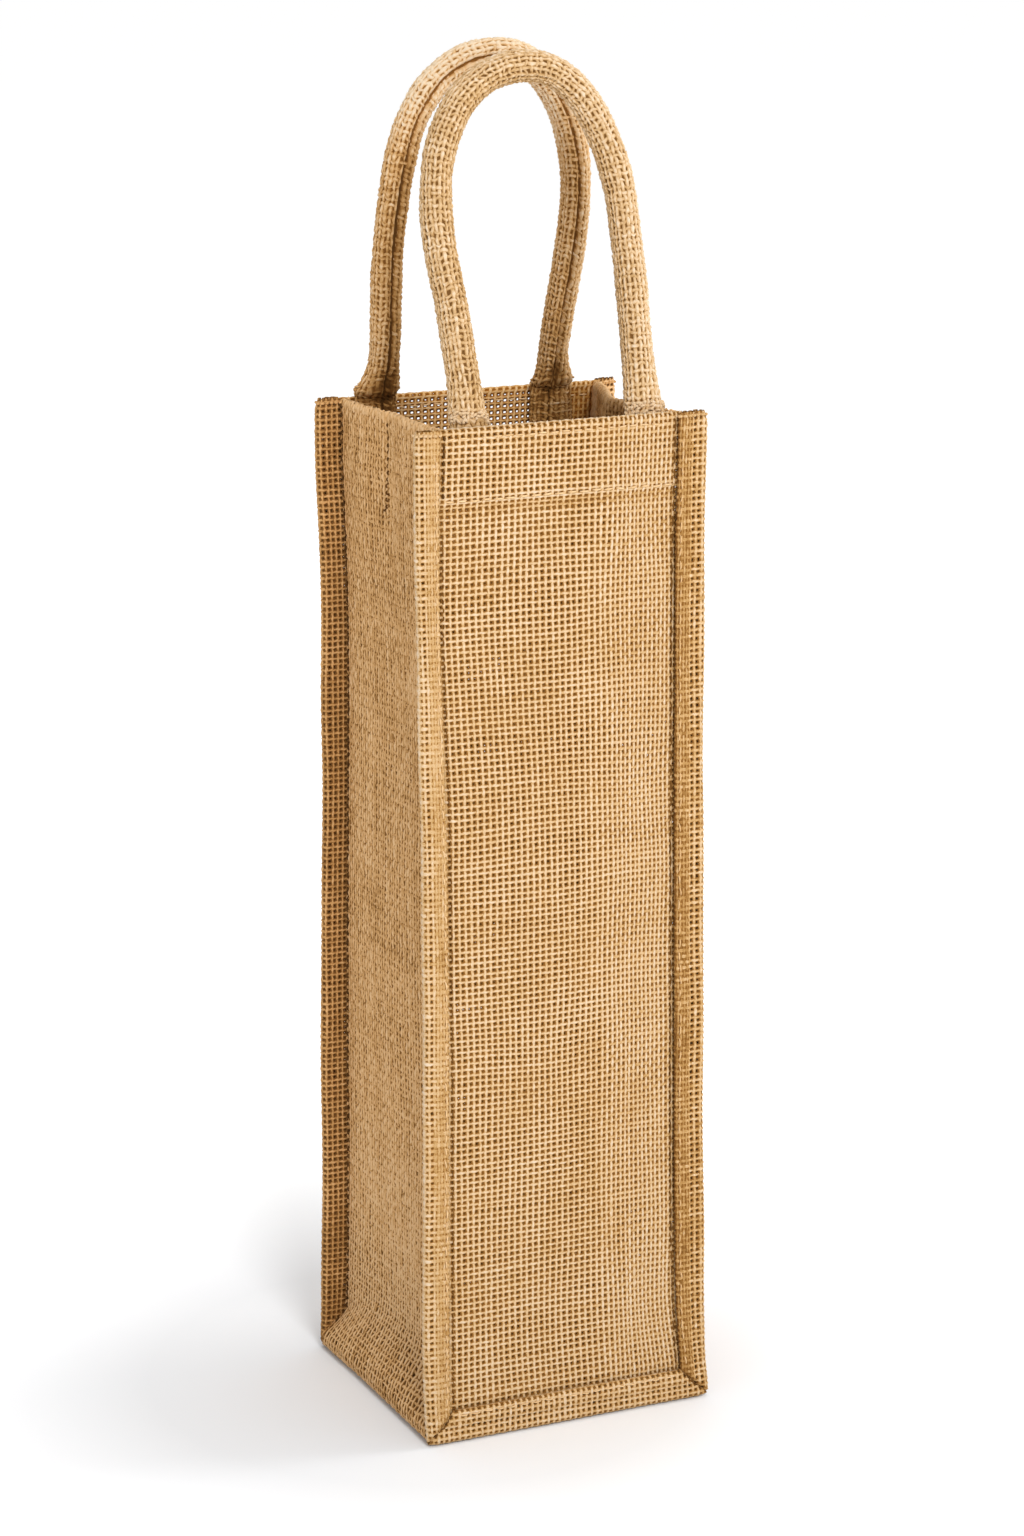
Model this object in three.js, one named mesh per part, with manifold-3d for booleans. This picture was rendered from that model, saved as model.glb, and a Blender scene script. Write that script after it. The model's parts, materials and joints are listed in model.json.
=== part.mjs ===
// Jute wine bag for one bottle: two hemmed panels, one gusset strip that binds
// their edges, and two stuffed loop handles. Millimetres, +Z up, the front faces
// -Y, and the bag stands on z = 0 centred under its rim.
import * as THREE from "three";
import Module from "manifold-3d";
import { mergeVertices } from "three/addons/utils/BufferGeometryUtils.js";

// ---------------------------------------------------------------- sizes
const HEIGHT = 350; // floor to rim
const WIDTH = 108; // over the side flanges
const DEPTH = 92; // outer face of one panel to outer face of the other
const FLANGE = 11.5; // from the seam to the outer edge of a flange
const CLOTH = 1.2; // one layer of cloth
const GAP = 0.3; // air between layers
const HEM = 25; // depth of the turned-in top hems
const BAND = 4.6; // inner strip of a flange, where the raw edge is tucked under
const BAND_RISE = 0.55; // how much thicker that strip is
const RIM_DROP = 0.8; // a single layer of cloth ends this far under the rim
const FLOOR_FOLD = 4.4; // outer radius where the sides turn under into the base
const FLARE = 26; // height over which the middle of a side swings out to the floor edge
const SEAM_FLARE = 11; // and the same close to the seams, which hold it in
const BASE_RISE = 10.3; // how far the base climbs to its seams
const FOLD_IN = 9.1; // how far the right side is folded in at its top
const CREASE_IN = 1.3; // the same crease, almost pressed flat, on the left

const TUBE = 5.3; // radius of a stuffed handle
const TAIL_WIDE = 5.9; // half width of its flattened end
const TAIL_THICK = 1.8; // half thickness of it
const TAIL_FOOT = HEIGHT - 23; // lower end of the sewn-on tails

const HALF_W = WIDTH / 2;
const HALF_D = DEPTH / 2;
const SEAM_X = HALF_W - FLANGE;
const LAYER = CLOTH + GAP; // from one layer's face to the next one's

// ---------------------------------------------------------------- cloth set
// How far each corner stands off the straight box, in x, at the seam and at the
// tip of its flange (f = front, b = back, l = left, r = right).
const SET = [
  { z: 0, flSeam: 0.1, flTip: 1.0, frSeam: 2.6, frTip: 2.9, blSeam: -2.3, blTip: -0.8, brSeam: 1.2, brTip: 1.2 },
  { z: 15, flSeam: 0.3, flTip: 1.1, frSeam: 2.1, frTip: 1.1, blSeam: -2.2, blTip: -0.5, brSeam: 0.9, brTip: 0.7 },
  { z: 30, flSeam: 0.6, flTip: 1.5, frSeam: 1.1, frTip: 0.5, blSeam: -2.0, blTip: -0.4, brSeam: 0.6, brTip: 0.4 },
  { z: 75, flSeam: 1.0, flTip: 1.9, frSeam: 0.0, frTip: -0.2, blSeam: -1.5, blTip: -0.1, brSeam: 0.0, brTip: -0.3 },
  { z: 120, flSeam: 1.0, flTip: 2.1, frSeam: -0.7, frTip: -0.9, blSeam: -1.2, blTip: 0.3, brSeam: -0.2, brTip: -0.6 },
  { z: 165, flSeam: 0.9, flTip: 2.4, frSeam: -1.3, frTip: -1.6, blSeam: -0.7, blTip: 1.0, brSeam: 0.3, brTip: 0.0 },
  { z: 205, flSeam: 0.6, flTip: 1.9, frSeam: -1.8, frTip: -2.1, blSeam: -0.1, blTip: 1.6, brSeam: 1.2, brTip: 0.9 },
  { z: 245, flSeam: -0.5, flTip: 1.2, frSeam: -2.1, frTip: -2.6, blSeam: 0.4, blTip: 2.0, brSeam: 2.8, brTip: 2.4 },
  { z: 285, flSeam: -1.5, flTip: 1.0, frSeam: -2.4, frTip: -3.0, blSeam: 0.4, blTip: 1.9, brSeam: 5.4, brTip: 4.7 },
  { z: 305, flSeam: -1.6, flTip: 0.5, frSeam: -2.4, frTip: -3.0, blSeam: -0.1, blTip: 1.4, brSeam: 7.2, brTip: 6.0 },
  { z: 325, flSeam: -1.6, flTip: 0.3, frSeam: -2.1, frTip: -2.9, blSeam: -0.6, blTip: 0.7, brSeam: 9.0, brTip: 7.3 },
  { z: 350, flSeam: -1.0, flTip: 0.0, frSeam: -1.7, frTip: -2.5, blSeam: -0.5, blTip: 0.7, brSeam: 10.4, brTip: 8.2 },
];
// The flanges' feet splay away from the base, and the back right flange turns
// backwards towards the rim.
const SPLAY = [
  { z: 0, foot: 1 },
  { z: 16, foot: 0.45 },
  { z: 36, foot: 0.12 },
  { z: 60, foot: 0 },
];
const FOOT_OUT = { fl: -3.9, fr: -1.5, bl: 3.9, br: 2.4 };
const BACK_TURN = 4.2; // at the rim, fading out TURN_FROM below it
const TURN_FROM = 130;
// How far the rim stands above its mean height at each corner.
const RIM_RISE = { fl: -0.4, fr: 1.3, bl: -1.0, br: 0.3 };
// Slow hollows and swells of the two panels, outward in mm.
const SWELLS = [
  { panel: -1, x: -10, z: 190, wide: 30, high: 95, out: 1.6 },
  { panel: -1, x: 24, z: 92, wide: 22, high: 60, out: -1.3 },
  { panel: -1, x: -22, z: 285, wide: 20, high: 30, out: -0.8 },
  { panel: 1, x: 6, z: 150, wide: 32, high: 90, out: 2.2 },
  { panel: 1, x: -20, z: 262, wide: 20, high: 40, out: -1.5 },
];
// The same for the two sides, outward in mm.
const SIDE_SWELLS = [
  { side: -1, y: 4, z: 165, deep: 26, high: 85, out: 1.6 },
  { side: -1, y: 22, z: 318, deep: 14, high: 30, out: 1.4 },
  { side: -1, y: -8, z: 250, deep: 20, high: 38, out: -1.2 },
  { side: 1, y: 0, z: 150, deep: 28, high: 80, out: -2.4 },
];

const clamp01 = (t) => Math.min(1, Math.max(0, t));
const smooth = (t) => clamp01(t) ** 2 * (3 - 2 * clamp01(t));
const mix = (a, b, t) => a + (b - a) * t;
const bell = (d, reach) => Math.exp(-((d / reach) ** 2));

function column(table, z, name) {
  if (z <= table[0].z) return table[0][name];
  for (let i = 1; i < table.length; i++)
    if (z <= table[i].z)
      return mix(
        table[i - 1][name],
        table[i][name],
        (z - table[i - 1].z) / (table[i].z - table[i - 1].z),
      );
  return table[table.length - 1][name];
}

// Along x: left tip, left seam, right seam, right tip, joined by straight lines.
function across(x, lTip, lSeam, rSeam, rTip) {
  if (x < -SEAM_X) return mix(lSeam, lTip, (-SEAM_X - x) / FLANGE);
  if (x > SEAM_X) return mix(rSeam, rTip, (x - SEAM_X) / FLANGE);
  return mix(lSeam, rSeam, (x + SEAM_X) / (2 * SEAM_X));
}

// Sets a point of the straight bag into the standing, slightly slack bag.
function settle(x, y, z) {
  const back = (y + HALF_D) / DEPTH;
  const right = (x + HALF_W) / WIDTH;
  const c = (name) => column(SET, z, name);
  const dx = mix(
    across(x, c("flTip"), c("flSeam"), c("frSeam"), c("frTip")),
    across(x, c("blTip"), c("blSeam"), c("brSeam"), c("brTip")),
    back,
  );
  const foot = column(SPLAY, z, "foot");
  let dy =
    foot *
    mix(
      mix(FOOT_OUT.fl, FOOT_OUT.fr, right),
      mix(FOOT_OUT.bl, FOOT_OUT.br, right),
      back,
    );
  const turned = clamp01((x - SEAM_X) / FLANGE) * clamp01(back);
  dy += BACK_TURN * turned * smooth(1 - (HEIGHT - z) / TURN_FROM);
  for (const s of SWELLS) {
    const near = s.panel < 0 ? 1 - back : back;
    dy +=
      s.panel * s.out * clamp01(near) * bell(x - s.x, s.wide) * bell(z - s.z, s.high);
  }
  const dz =
    (Math.max(z, 0) / HEIGHT) ** 4 *
    mix(
      mix(RIM_RISE.fl, RIM_RISE.fr, right),
      mix(RIM_RISE.bl, RIM_RISE.br, right),
      back,
    );
  return new THREE.Vector3(x + dx, y + dy, z + dz);
}

// ---------------------------------------------------------------- builders
// A closed body from one flat outline carried through a row of sections.
// place(k, a, b) gives the point of section k for the outline's point (a, b).
function sweep(outline, sections, place) {
  const area = THREE.ShapeUtils.area(outline.map(([a, b]) => new THREE.Vector2(a, b)));
  if (area < 0) outline = [...outline].reverse();
  const n = outline.length;
  const points = [];
  for (let k = 0; k < sections; k++)
    for (const [a, b] of outline) points.push(place(k, a, b));
  const index = [];
  for (let k = 0; k + 1 < sections; k++)
    for (let i = 0; i < n; i++) {
      const j = (i + 1) % n;
      const p = k * n + i;
      const q = k * n + j;
      index.push(p, q, q + n, p, q + n, p + n);
    }
  const cap = THREE.ShapeUtils.triangulateShape(
    outline.map(([a, b]) => new THREE.Vector2(a, b)),
    [],
  );
  const last = (sections - 1) * n;
  for (const [a, b, c] of cap) {
    index.push(a, c, b);
    index.push(last + a, last + b, last + c);
  }
  return closed(points, index);
}

// A closed shell between two faces: face(side, u, v) gives the point of face 0 or 1.
function shell(us, vs, face) {
  const nu = us.length;
  const nv = vs.length;
  const points = [];
  for (const side of [0, 1])
    for (const u of us) for (const v of vs) points.push(face(side, u, v));
  const index = [];
  const id = (side, i, j) => side * nu * nv + i * nv + j;
  for (let i = 0; i + 1 < nu; i++)
    for (let j = 0; j + 1 < nv; j++) {
      index.push(id(0, i, j), id(0, i + 1, j), id(0, i + 1, j + 1));
      index.push(id(0, i, j), id(0, i + 1, j + 1), id(0, i, j + 1));
      index.push(id(1, i, j), id(1, i + 1, j + 1), id(1, i + 1, j));
      index.push(id(1, i, j), id(1, i, j + 1), id(1, i + 1, j + 1));
    }
  const wall = (a, b) => {
    index.push(id(0, ...a), id(0, ...b), id(1, ...b));
    index.push(id(0, ...a), id(1, ...b), id(1, ...a));
  };
  for (let i = 0; i + 1 < nu; i++) {
    wall([i + 1, 0], [i, 0]);
    wall([i, nv - 1], [i + 1, nv - 1]);
  }
  for (let j = 0; j + 1 < nv; j++) {
    wall([0, j], [0, j + 1]);
    wall([nu - 1, j + 1], [nu - 1, j]);
  }
  return closed(points, index);
}

// A closed sheet of even thickness about the surface at(u, v).
function sheet(us, vs, at, thick) {
  const step = 1e-3;
  return shell(us, vs, (side, u, v) => {
    const du = at(u + step, v).sub(at(u - step, v));
    const dv = at(u, v + step).sub(at(u, v - step));
    return at(u, v).addScaledVector(du.cross(dv).normalize(), (0.5 - side) * thick);
  });
}

// A geometry that faces out, whichever way its points run.
function closed(points, index) {
  let volume = 0;
  for (let t = 0; t < index.length; t += 3) {
    const [a, b, c] = [points[index[t]], points[index[t + 1]], points[index[t + 2]]];
    volume += a.dot(b.clone().cross(c)) / 6;
  }
  if (volume < 0)
    for (let t = 0; t < index.length; t += 3)
      [index[t + 1], index[t + 2]] = [index[t + 2], index[t + 1]];
  return new THREE.BufferGeometry().setFromPoints(points).setIndex(index);
}

const wasm = await Module();
wasm.setup();

function join(geometries) {
  const solids = geometries.map((g) => {
    g.deleteAttribute("normal");
    g.deleteAttribute("uv");
    const merged = mergeVertices(g, 1e-4);
    return new wasm.Manifold(
      new wasm.Mesh({
        numProp: 3,
        vertProperties: merged.attributes.position.array,
        triVerts: new Uint32Array(merged.index.array),
      }),
    );
  });
  const mesh = solids.reduce((a, b) => a.add(b)).getMesh();
  return new THREE.BufferGeometry()
    .setAttribute("position", new THREE.BufferAttribute(mesh.vertProperties, 3))
    .setIndex(new THREE.BufferAttribute(mesh.triVerts, 1));
}

const group = new THREE.Group();
const JUTE = 0xc9a26b;
const JUTE_SIDE = 0xb98f58;
function add(name, geometry, color) {
  geometry.computeVertexNormals();
  const mesh = new THREE.Mesh(
    geometry,
    new THREE.MeshStandardMaterial({ color, roughness: 0.95, side: THREE.DoubleSide }),
  );
  mesh.name = name;
  group.add(mesh);
}

const steps = (from, to, count) =>
  Array.from({ length: count + 1 }, (_, i) => mix(from, to, i / count));

// The turned-in part of a hem: an outline of (depth inward, height), hooked over
// the rim. Its outer leg is buried in the sheet that it belongs to.
function hook(depth) {
  const r = LAYER - GAP / 2; // outside of the fold
  const s = GAP / 2; // inside of it
  const outline = [
    [CLOTH - 0.3, HEIGHT - 6],
    [0.3, HEIGHT - 6],
    [0.15, HEIGHT - r],
  ];
  for (const deg of [150, 115, 90, 65, 30])
    outline.push([
      r + (r - 0.15) * Math.cos((deg * Math.PI) / 180),
      HEIGHT - r + r * Math.sin((deg * Math.PI) / 180),
    ]);
  outline.push([2 * r, HEIGHT - r]);
  outline.push([2 * r, HEIGHT - depth], [LAYER, HEIGHT - depth]);
  outline.push([r + s, HEIGHT - r], [r, HEIGHT - r + s], [r - s, HEIGHT - r]);
  return outline;
}

// Heights at which every upright cloth has a row of points, so that layers bend alike.
const ROWS = [16, 36, 60, 100, 150, 195, 230, 260, 285, 305, HEIGHT - HEM, HEIGHT - RIM_DROP];

// ---------------------------------------------------------------- panels
// panel = -1 for the front, 1 for the back.
function makePanel(panel) {
  const edge = HALF_W - CLOTH - 2 * GAP;
  const hemEdge = SEAM_X - 2 * LAYER;
  const foot = CLOTH + 2 * GAP;
  const rows = [foot, 6, 11, ...ROWS];
  const inward = (a) => panel * (HALF_D - a);
  const middle = HALF_W - FLANGE / 2;
  const xs = [-edge, -middle, -SEAM_X, ...steps(-28, 28, 4), SEAM_X, middle, edge];
  const body = shell(xs, rows, (side, x, z) => settle(x, inward(side * CLOTH), z));
  const hs = [-hemEdge, ...steps(-28, 28, 4), hemEdge];
  const hem = sweep(hook(HEM), hs.length, (k, a, b) => settle(hs[k], inward(a), b));
  return join([body, hem]);
}
add("front_panel", makePanel(-1), JUTE);
add("back_panel", makePanel(1), JUTE);

// ---------------------------------------------------------------- gusset
// Half outline of the strip from the side's top down to the middle of the base,
// as x outward and height of its middle layer, for a run of 0..1.
const SIDE_ROWS = ROWS.filter((z) => z > 40).reverse();
const FLARE_ROWS = [30, 23, 17, 12.5, 8.5, FLOOR_FOLD];
const REACH = HALF_W - 1.1 - SEAM_X; // how far the foot swings out
// How far a side has swung out at depth y and height z, over the floor fold.
function swing(y, z) {
  const high = mix(FLARE, SEAM_FLARE, clamp01(Math.abs(y) / 43.9) ** 2);
  return REACH * smooth((high + FLOOR_FOLD - z) / high);
}
const FOLD_STEPS = 4;
const BASE_XS = [40, 31, 21, 10, 0];
function stripRun() {
  const run = [];
  const foldR = FLOOR_FOLD - CLOTH / 2;
  for (const z of [...SIDE_ROWS, ...FLARE_ROWS]) run.push([SEAM_X + CLOTH / 4, z]);
  const foldX = SEAM_X + CLOTH / 4 + REACH;
  for (let i = 1; i <= FOLD_STEPS; i++) {
    const t = (i / FOLD_STEPS) * (Math.PI / 2);
    run.push([foldX - foldR * (1 - Math.cos(t)), FLOOR_FOLD - foldR * Math.sin(t)]);
  }
  for (const x of BASE_XS) run.push([x, CLOTH / 2]);
  const left = run.map(([x, z]) => [-x, z]);
  const right = run.slice(0, -1).reverse();
  return [...left, ...right];
}
const RUN = stripRun();
// Inward fold of a side at depth y: sharp at the middle, rolled at the seams.
function crease(x, y, z) {
  const mid = clamp01(1 - Math.abs(y) / HALF_D) ** 1.4;
  if (x > 0) return -FOLD_IN * mid * smooth((z - 205) / 130);
  return CREASE_IN * mid ** 4 * smooth((z - 290) / 30);
}
function sidePoint(x, y, z) {
  const side = Math.sign(x);
  const upright = smooth((z - 14) / 50) * smooth((Math.abs(x) - 30) / 8);
  let dx = crease(x, y, z) * smooth((Math.abs(x) - 30) / 8);
  if (z >= FLOOR_FOLD && z < 60) dx += side * swing(y, z);
  for (const s of SIDE_SWELLS)
    if (s.side === side)
      dx +=
        s.side * s.out * upright * bell(y - s.y, s.deep) * bell(z - s.z, s.high) *
        smooth((HALF_D - 4 - Math.abs(y)) / 12);
  // The base hangs from its seams and lies flat on the floor in the middle.
  const seamPull = smooth((47 - Math.abs(x)) / 24) * clamp01((Math.abs(y) - 22) / (HALF_D - 24.1)) ** 2;
  const dz = z < FLOOR_FOLD ? BASE_RISE * seamPull : 0;
  return settle(x + dx, y, z + dz);
}
function runPoint(u, y) {
  const i = Math.min(RUN.length - 2, Math.max(0, Math.floor(u)));
  const t = u - i;
  return sidePoint(mix(RUN[i][0], RUN[i + 1][0], t), y, mix(RUN[i][1], RUN[i + 1][1], t));
}
// The wrapped edge: an outline of (distance in from the outer edge, height over
// the panel's outer face), hollow where the panel's raw edge lies.
const BACK_LAYER = -(CLOTH + GAP + CLOTH + GAP);
const WRAP = [
  [FLANGE, GAP],
  [FLANGE, LAYER + BAND_RISE],
  [FLANGE - BAND + 0.5, LAYER + BAND_RISE],
  [FLANGE - BAND - 0.1, LAYER],
  [1.2, LAYER],
  [0.3, LAYER - 0.4],
  [0, GAP],
  [0, -CLOTH - GAP],
  [0.3, BACK_LAYER + 0.7],
  [1.2, BACK_LAYER + 0.3],
  [FLANGE / 2, BACK_LAYER + 0.3],
  [FLANGE, BACK_LAYER + 0.3],
  [FLANGE + CLOTH, BACK_LAYER + 0.3],
  [FLANGE + CLOTH, -CLOTH - GAP],
  [FLANGE, -CLOTH - GAP],
  [FLANGE / 2, -CLOTH - GAP],
  [CLOTH + GAP, -CLOTH - GAP],
  [CLOTH + GAP, GAP],
  [FLANGE / 2, GAP],
];
const DOWN = [...ROWS].reverse(); // and then the mitre, where the height is the inset
const ALONG = steps(0, 1, 6);
const TIP_ROUND = 1.1; // the mitred tips are blunt by this much
function wrapPoint(k, inset, over, panel) {
  const upright = DOWN.length + 1;
  const side = k < upright ? -1 : k < upright + ALONG.length - 2 ? 0 : 1;
  const y = panel * (HALF_D + over);
  if (side === 0) return settle(mix(-HALF_W + inset, HALF_W - inset, ALONG[k - upright + 1]), y, inset);
  const row = side < 0 ? k : 2 * upright + ALONG.length - 3 - k;
  const blunt = row < DOWN.length ? 0 : TIP_ROUND * clamp01(1 - inset / CLOTH);
  const z = row < DOWN.length ? DOWN[row] : inset;
  const ripple = 0.2 * Math.sin(z / 19 + panel) + 0.15 * Math.sin(z / 11 + 2 * side) + 0.15;
  const x = HALF_W - inset - blunt + ripple * clamp01(1 - inset / CLOTH) * smooth(z / 25);
  return settle(side * x, y, z + blunt);
}
function makeGusset() {
  const edge = HALF_D - CLOTH - GAP - CLOTH / 2;
  const ys = [-edge, -37, -27, -14, 0, 14, 27, 37, edge];
  const us = RUN.map((_, i) => i);
  const strip = sheet(us, ys, runPoint, CLOTH);
  const parts = [strip];
  const sections = 2 * (DOWN.length + 1) + ALONG.length - 2;
  for (const panel of [-1, 1])
    parts.push(sweep(WRAP, sections, (k, a, b) => wrapPoint(k, a, b, panel)));
  const hemYs = [-HALF_D + 3.2, -37, -27, -14, 0, 14, 27, 37, HALF_D - 3.2];
  for (const side of [-1, 1])
    parts.push(
      sweep(hook(HEM), hemYs.length, (k, a, b) =>
        sidePoint(side * (SEAM_X + (3 * CLOTH) / 4 - a), hemYs[k], b),
      ),
    );
  return join(parts);
}
add("gusset", makeGusset(), JUTE_SIDE);

// ---------------------------------------------------------------- handles
// Middle line of each loop: x and height. The tails come before and after.
const FRONT_LOOP = [
  { x: -31.9, z: 353 }, { x: -32.1, z: 363 }, { x: -32.6, z: 373 }, { x: -33.6, z: 389 },
  { x: -35.1, z: 402 }, { x: -35.5, z: 414 }, { x: -34.5, z: 425 }, { x: -32.2, z: 435 },
  { x: -27.5, z: 445 }, { x: -21.5, z: 453 }, { x: -13.1, z: 459 }, { x: -4.0, z: 462 },
  { x: 4.8, z: 462.3 }, { x: 12.1, z: 460 }, { x: 19.0, z: 454.3 }, { x: 24.5, z: 445.5 },
  { x: 28.7, z: 434 }, { x: 30.9, z: 422 }, { x: 31.5, z: 407 }, { x: 31.6, z: 393 },
  { x: 31.3, z: 379 }, { x: 31.0, z: 366 }, { x: 30.8, z: 353 },
];
const BACK_LOOP = [
  { x: -31.2, z: 353 }, { x: -31.5, z: 364 }, { x: -32.1, z: 376 }, { x: -32.8, z: 390 },
  { x: -32.9, z: 404 }, { x: -32.2, z: 417 }, { x: -30.9, z: 430 }, { x: -28.3, z: 442 },
  { x: -23.6, z: 452 }, { x: -17.5, z: 459 }, { x: -9.3, z: 463.8 }, { x: 0.5, z: 465.6 },
  { x: 9.4, z: 464.3 }, { x: 17.0, z: 459.8 }, { x: 23.8, z: 452 }, { x: 29.4, z: 442 },
  { x: 33.3, z: 430 }, { x: 35.0, z: 417 }, { x: 34.9, z: 403 }, { x: 33.9, z: 389 },
  { x: 32.6, z: 376 }, { x: 32.0, z: 364 }, { x: 32.7, z: 353 },
];
// Across a leg as it leaves the hem: half width, half thickness, and how far its
// middle stands in from the panel's outer face.
const LEG = [
  { z: TAIL_FOOT, wide: TAIL_WIDE - 0.5, thick: TAIL_THICK - 0.3, in: 2 * LAYER + TAIL_THICK + 0.2 },
  { z: 335, wide: TAIL_WIDE, thick: TAIL_THICK, in: 2 * LAYER + TAIL_THICK + 0.2 },
  { z: 345, wide: TAIL_WIDE + 0.4, thick: TAIL_THICK + 0.5, in: 2 * LAYER + TAIL_THICK + 0.7 },
  { z: 352, wide: TAIL_WIDE + 0.9, thick: 3.2, in: 6.8 },
  { z: 360, wide: TUBE + 0.9, thick: 4.5, in: 9.2 },
  { z: 370, wide: TUBE + 0.2, thick: TUBE - 0.1, in: 12.2 },
  { z: 384, wide: TUBE, thick: TUBE, in: 0 },
];
const LEAN_FROM = 370; // above this height the loops lean in evenly
function makeHandle(panel, loop, lean) {
  const first = loop[0];
  const last = loop[loop.length - 1];
  const path = [
    { x: first.x, z: TAIL_FOOT }, { x: first.x, z: 339 }, ...loop,
    { x: last.x, z: 339 }, { x: last.x, z: TAIL_FOOT },
  ];
  const inAt = (z) => {
    const atLean = column(LEG, LEAN_FROM, "in");
    return z > LEAN_FROM ? atLean + lean * (z - LEAN_FROM) : column(LEG, z, "in");
  };
  const line = new THREE.CatmullRomCurve3(
    path.map(({ x, z }) => new THREE.Vector3(x, panel * (HALF_D - inAt(z)), z)),
  );
  const sections = 46;
  const round = Array.from({ length: 10 }, (_, i) => {
    const t = (i / 10) * 2 * Math.PI;
    return [Math.cos(t), Math.sin(t)];
  });
  const frames = steps(0, 1, sections - 1).map((t) => {
    const middle = line.getPointAt(t);
    middle.y = panel * (HALF_D - inAt(middle.z));
    const along = line.getTangentAt(t);
    const over = new THREE.Vector3(0, 1, 0);
    over.addScaledVector(along, -over.dot(along)).normalize();
    const aside = over.clone().cross(along).normalize();
    const body = 1 + 0.035 * Math.sin(31 * t + panel) + 0.02 * Math.sin(67 * t);
    return {
      middle, over, aside,
      wide: column(LEG, middle.z, "wide") * (middle.z > 372 ? body : 1),
      thick: column(LEG, middle.z, "thick") * (middle.z > 372 ? body : 1),
    };
  });
  return sweep(round, sections, (k, a, b) => {
    const f = frames[k];
    return f.middle.clone().addScaledVector(f.aside, f.wide * a).addScaledVector(f.over, f.thick * b);
  });
}
add("handle_front", makeHandle(-1, FRONT_LOOP, 0.27), JUTE);
add("handle_back", makeHandle(1, BACK_LOOP, 0.2), JUTE_SIDE);

// The origin lies under the middle of the whole outline, on the floor.
const outline = new THREE.Box3().setFromObject(group);
const middle = outline.getCenter(new THREE.Vector3());
for (const mesh of group.children) mesh.position.set(-middle.x, -middle.y, -outline.min.z);

export default group;
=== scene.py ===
"""Jute wine bag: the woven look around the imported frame.

Every yarn of the cloth is modelled. A cloth is a lattice of crossings on a
developable surface: warp yarns run along it and weft yarns across it, each
passing over and under in turn. The surfaces are the panels with their turned-in
hems, the gusset strip with its flare and base, the edges that the strip wraps,
and the stuffed handle sleeves. Sizes are in millimetres until a mesh is made.
"""

import math
import json

import bpy
import numpy as np
from mathutils import Matrix, Vector

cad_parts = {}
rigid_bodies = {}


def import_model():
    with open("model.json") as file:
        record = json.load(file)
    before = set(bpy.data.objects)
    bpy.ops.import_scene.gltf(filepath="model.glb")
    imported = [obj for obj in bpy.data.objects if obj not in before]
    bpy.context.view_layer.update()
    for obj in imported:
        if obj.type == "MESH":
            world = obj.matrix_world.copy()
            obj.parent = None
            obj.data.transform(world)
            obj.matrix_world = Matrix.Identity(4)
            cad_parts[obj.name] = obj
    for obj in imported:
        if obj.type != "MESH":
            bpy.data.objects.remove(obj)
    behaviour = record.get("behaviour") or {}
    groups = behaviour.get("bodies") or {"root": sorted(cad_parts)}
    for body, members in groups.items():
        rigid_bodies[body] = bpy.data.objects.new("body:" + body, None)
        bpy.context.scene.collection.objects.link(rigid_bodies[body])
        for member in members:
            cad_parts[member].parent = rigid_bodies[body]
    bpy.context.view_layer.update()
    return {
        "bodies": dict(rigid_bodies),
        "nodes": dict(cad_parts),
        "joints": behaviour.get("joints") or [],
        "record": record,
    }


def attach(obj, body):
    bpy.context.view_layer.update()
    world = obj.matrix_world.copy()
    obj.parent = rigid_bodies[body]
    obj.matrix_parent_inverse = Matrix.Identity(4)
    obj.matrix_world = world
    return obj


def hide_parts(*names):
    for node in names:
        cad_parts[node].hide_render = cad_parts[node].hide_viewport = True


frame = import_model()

# ------------------------------------------------------------------ bag sizes
HEIGHT = 350.0
HALF_W = 54.0
HALF_D = 46.0
FLANGE = 11.5
SEAM_X = HALF_W - FLANGE
CLOTH = 1.2
GAP = 0.3
LAYER = CLOTH + GAP
HEM = 25.0
BAND = 4.6
BAND_RISE = 0.55
FLOOR_FOLD = 4.4
FLARE = 26.0
SEAM_FLARE = 11.0
BASE_RISE = 10.3
FOLD_IN = 9.1
CREASE_IN = 1.3
BACK_TURN = 4.2
TURN_FROM = 130.0
CENTRE = np.array([-3.9179, -0.0052, 0.0])  # puts the origin under the outline's middle

# Offsets of the four corners at the seam and at the flange tip, by height.
SET_Z = [0, 15, 30, 75, 120, 165, 205, 245, 285, 305, 325, 350]
SET = {
    "flSeam": [0.1, 0.3, 0.6, 1.0, 1.0, 0.9, 0.6, -0.5, -1.5, -1.6, -1.6, -1.0],
    "flTip": [1.0, 1.1, 1.5, 1.9, 2.1, 2.4, 1.9, 1.2, 1.0, 0.5, 0.3, 0.0],
    "frSeam": [2.6, 2.1, 1.1, 0.0, -0.7, -1.3, -1.8, -2.1, -2.4, -2.4, -2.1, -1.7],
    "frTip": [2.9, 1.1, 0.5, -0.2, -0.9, -1.6, -2.1, -2.6, -3.0, -3.0, -2.9, -2.5],
    "blSeam": [-2.3, -2.2, -2.0, -1.5, -1.2, -0.7, -0.1, 0.4, 0.4, -0.1, -0.6, -0.5],
    "blTip": [-0.8, -0.5, -0.4, -0.1, 0.3, 1.0, 1.6, 2.0, 1.9, 1.4, 0.7, 0.7],
    "brSeam": [1.2, 0.9, 0.6, 0.0, -0.2, 0.3, 1.2, 2.8, 5.4, 7.2, 9.0, 10.4],
    "brTip": [1.2, 0.7, 0.4, -0.3, -0.6, 0.0, 0.9, 2.4, 4.7, 6.0, 7.3, 8.2],
}
SPLAY = ([0, 16, 36, 60], [1, 0.45, 0.12, 0])
FOOT_OUT = {"fl": -3.9, "fr": -1.5, "bl": 3.9, "br": 2.4}
RIM_RISE = {"fl": -0.4, "fr": 1.3, "bl": -1.0, "br": 0.3}
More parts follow.
